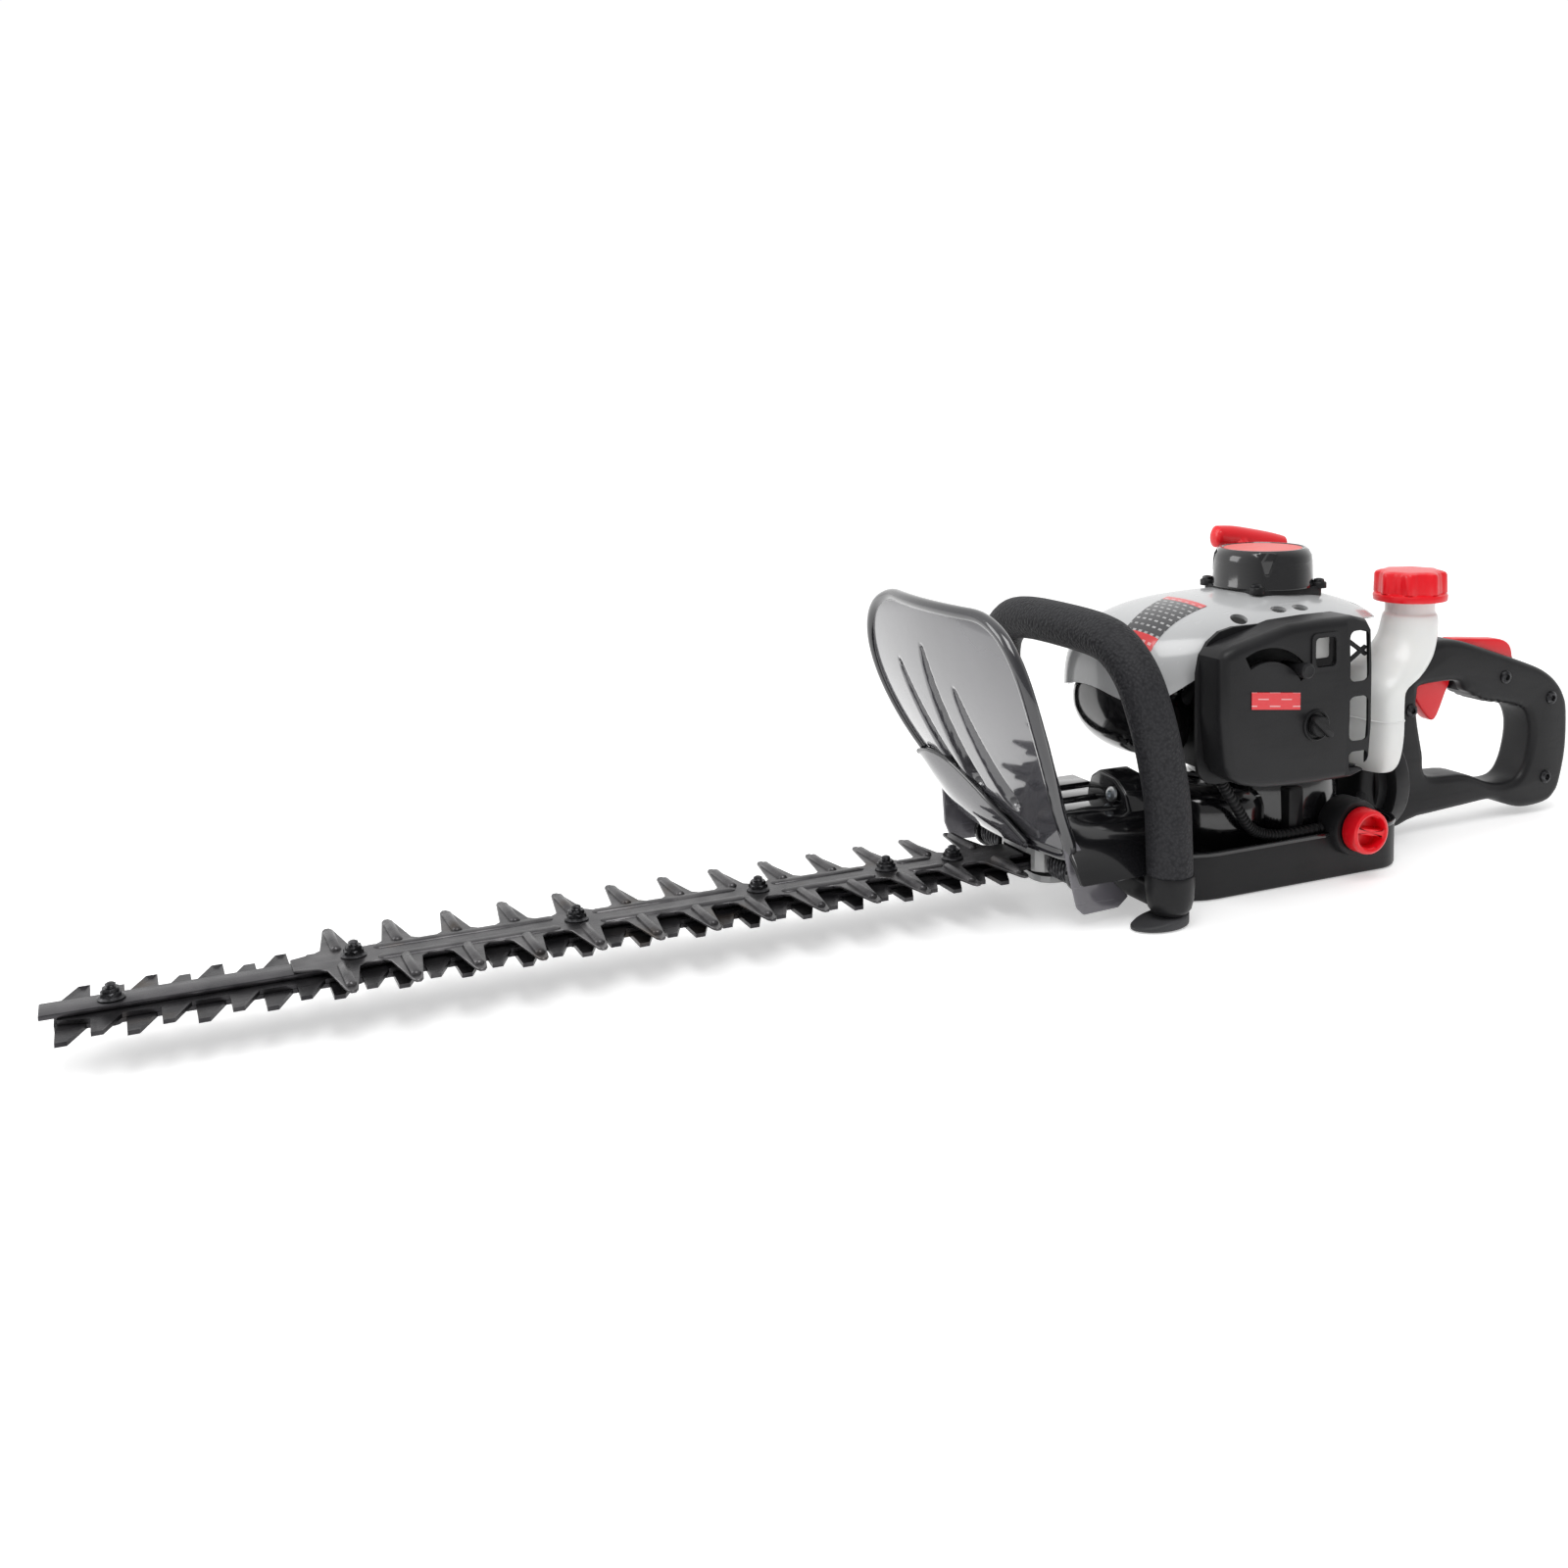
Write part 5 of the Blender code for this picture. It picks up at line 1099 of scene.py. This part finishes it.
def tray_outline(inset):
    """The tray's outline with round corners, moved inwards."""
    outline = []
    for centre_x, centre_y, corner, start in ((0.05, 0.0435, 0.0245, 0), (-0.09, 0.023, 0.045, 90),
            (-0.09, -0.023, 0.045, 180), (0.05, -0.0435, 0.0245, 270)):
        outline += arc(centre_x, centre_y, corner - inset, start, 11.25, 9)
    return outline


tray = eased(pressed(tray_outline(0.0), 0.0, 0.0318), 0.0022, 3, 60.0)
tray = combined(tray, pressed(tray_outline(0.0034), 0.004, 0.05))
mouth = pressed(mm((-140, -30), (-126, -30), (-126, 30), (-140, 30)), 0.0125, 0.05)
tray = combined(tray, mouth)
lip = combined(pressed(tray_outline(-0.0006), 0.03, 0.033), pressed(tray_outline(0.0022), 0.02, 0.05))
lip = combined(lip, pressed(mm((-150, -30), (-120, -30), (-120, 30), (-150, 30)), 0.0125, 0.05))
settle("base_tray", tray, satin_black, "black_satin", "base_housing", sharp=35.0)
settle("base_lip", eased(lip, 0.0007, 2, 60.0), black_shell, "black_gloss", sharp=35.0)
pillar = eased(pressed(mm((58, 4), (84.5, 4), (84.5, 58), (74, 70), (66, 60)), -0.03, 0.03, upright=True),
               0.004, 3)
boss = spun(mm((0, 77), (32, 77), (33.5, 78.5), (33.5, 86.2), (0, 86.2)), at=(0, 0, swivel_height),
            axis=(1, 0, 0), steps=64)
settle("swivel_pillar", combined(pillar, boss, "UNION"), satin_black, "black_satin")
deck = pressed(tray_outline(0.0036), 0.0125, 0.0145)
deck = combined(deck, pressed(mm((-140, -46), (30, -46), (30, 46), (-140, 46)), 0.0, 0.05))
settle("base_deck", deck, satin_black, "black_satin")
support = eased(rounded_box(-0.022, -0.009, 0.015, 0.064, 0.002, -0.056, -0.036), 0.002)
settle("engine_leg", support, satin_black, "black_satin")

knob_x, knob_z = 0.022, 0.035
seat = spun(mm((0, 56), (19.5, 56), (20, 66), (19.5, 73), (18.5, 74.7), (16, 74.7), (16, 73), (0, 73)),
            at=(knob_x, 0, knob_z), axis=(0, -1, 0), steps=56)
settle("release_seat", seat, satin_black, "black_satin")
turn_knob = spun(mm((0, 75.2), (15, 75.2), (15.5, 76.2), (15.5, 84.8), (14.8, 86.8), (13.2, 87.8),
                    (12.2, 87.5), (11.5, 85.8), (0, 85.8)), at=(knob_x, 0, knob_z), axis=(0, -1, 0),
                 steps=56)
for half_turn in (12, 192):
    cutter = pressed(arc(0, 0.0022, 0.0112, 0, 11.25, 17, 0.009), -0.099, -0.0775, upright=True)
    bmesh.ops.rotate(cutter, verts=cutter.verts[:], cent=(0, 0, 0),
                     matrix=Matrix.Rotation(math.radians(half_turn), 3, "Y"))
    bmesh.ops.translate(cutter, verts=cutter.verts[:], vec=(knob_x, 0, knob_z))
    turn_knob = combined(turn_knob, cutter)
settle("release_knob", eased(turn_knob, 0.0004, 1, 60.0), red_plastic, "red_plastic", "swivel_release_knob",
       body="swivel_release_knob", sharp=35.0)

# ---------------------------------------------------------------- cable sleeve
# The throttle cable and the switch leads run in one corrugated sleeve, from under the filter down
# into the tray and along it to the swivel.

sleeve_route = mm((-87, -64, 86), (-83, -62.5, 76), (-70, -60, 59), (-60, -59, 45), (-50, -59, 38),
                  (-36, -60, 34.5), (-15, -60, 34), (10, -59, 34.5), (30, -55, 36.5), (45, -49, 41),
                  (57, -40, 45))
sleeve_line = through(sleeve_route, 22)
sleeve_scales = [1.0 if (i // 2) % 2 else 0.8 for i in range(len(sleeve_line))]
settle("cable_sleeve", drawn(sleeve_line, 0.004, 14, scales=sleeve_scales), rubber, "black_satin",
       "throttle_cable", sharp=25.0)
thin_lead = through(mm((-118, -40, 88), (-106, -52, 85), (-95, -60, 83), (-86, -63, 81)), 8)
settle("ground_lead", drawn(thin_lead, 0.0012, 10), rubber, "black_satin")

# ---------------------------------------------------------------- swivel and rear handle
# A broad ribbed ring behind the tank lets the whole rear handle turn. The closed D handle is two
# satin mouldings screwed together, with finger bumps inside its upper arm.

collar = spun(mm((12, 86.6), (40, 86.6), (41.5, 87.6), (41.5, 99), (40.5, 100.8), (38, 103), (35, 103.1),
                 (34, 101.2), (12, 101.2), (12, 86.6)), at=(0, 0, swivel_height), axis=(1, 0, 0), steps=96)
settle("swivel_ring", collar, satin_black, "black_satin", "swivel_collar", sharp=35.0)
handle_outer = mm((104, 12), (104, 84), (112, 105), (124, 125.5), (138, 139), (152, 144), (165, 144),
                  (178, 141.5), (198, 135), (238.6, 120.7), (260, 112), (274, 102), (282, 91), (285.6, 78),
                  (285.6, 48), (280, 22), (274, 12), (264, 6.5), (242, 5.5), (225, 10), (209.5, 16),
                  (181.5, 15), (135.6, 12.5))
handle_inner = mm((144.5, 43), (139, 62), (133, 90), (133, 106), (138, 112), (172, 112), (180, 104),
                  (189, 100), (202, 94.5), (219, 91.2), (234.5, 87.2), (243, 81), (247.5, 70), (247, 56),
                  (242.4, 40), (234.5, 30), (221, 27.3), (206, 30), (181.5, 39))


def curved(outline, steps):
    """A closed outline made smooth through its points."""
    count = len(outline)
    points = [Vector(p) for p in outline]
    path = []
    for k in range(count):
        spans = [points[(k + shift) % count] for shift in (-1, 0, 1, 2)]
        path += [tuple(bend(*spans, i / steps)) for i in range(steps)]
    return path


inner_line = curved(handle_inner, 5)
bumped = []
for x, z in inner_line:
    ripple = 0.0013 * math.cos(2 * math.pi * (x - 0.19) / 0.0125) if 0.186 < x < 0.24 and z > 0.08 else 0.0
    bumped.append((x, z - abs(ripple) * 1.2))
handle = combined(pressed(curved(handle_outer, 4), -0.016, 0.016, upright=True),
                  pressed(bumped, -0.03, 0.03, upright=True))
bmesh.ops.dissolve_limit(handle, angle_limit=math.radians(1), verts=handle.verts[:], edges=handle.edges[:])
handle = eased(handle, 0.0058, 4, 60.0)
for opening in (mm((129, 100), (184, 98), (184, 126), (165, 133.5), (129, 133)),
                mm((171, 128.5), (236, 106), (246, 126), (236, 150), (171, 150))):
    handle = combined(handle, pressed(opening, -0.0062, 0.0062, upright=True))
settle("handle_loop", handle, satin_black, "black_satin", "rear_handle_left", "rear_handle_right",
       body="rear_handle", sharp=40.0)
screws = []
for x, z in ((0.113, 0.03), (0.125, 0.095), (0.262, 0.028), (0.266, 0.09), (0.218, 0.111)):
    for side in (-1, 1):
        screws.append(spun(screw_head, at=(x, side * 0.015, z), axis=(0, side, 0), steps=20))
settle("handle_screws", gathered(screws), bolt_finish, "dark_bolt", body="rear_handle")

trigger_outline = mm((-6.5, -8), (-3, -15), (3, -25), (10, -34), (16, -39.5), (20.5, -38.5), (25, -31),
                     (30, -20), (34, -12), (34, -2), (0, 5.8), (-6.5, 3))
trigger_line = [(x + 0.139, z + 0.122) for x, z in curved(trigger_outline, 3)]
settle("throttle_lever", eased(pressed(trigger_line, -0.0055, 0.0055, upright=True), 0.0018, 3, 50.0),
       red_plastic, "red_plastic", "throttle_trigger", body="throttle_trigger", sharp=50.0)
lock_outline = mm((-3.5, -3), (-3, 5), (2, 6.2), (30, 3.5), (47, 1.5), (56, -3.5), (59, -12), (56, -15),
                  (20, -5.5), (0, -3.5))
lock_line = [(x + 0.177, z + 0.1365) for x, z in curved(lock_outline, 3)]
settle("throttle_lock", eased(pressed(lock_line, -0.0055, 0.0055, upright=True), 0.0015, 3, 50.0),
       red_plastic, "red_plastic", "lock_lever", body="lock_lever", sharp=50.0)
rocker = eased(rounded_box(0.1781, 0.1919, 0.1181, 0.1279, 0.002, 0.0168, 0.0218), 0.0008, 2)
settle("engine_switch", rocker, red_plastic, "red_plastic", "stop_switch", body="stop_switch")
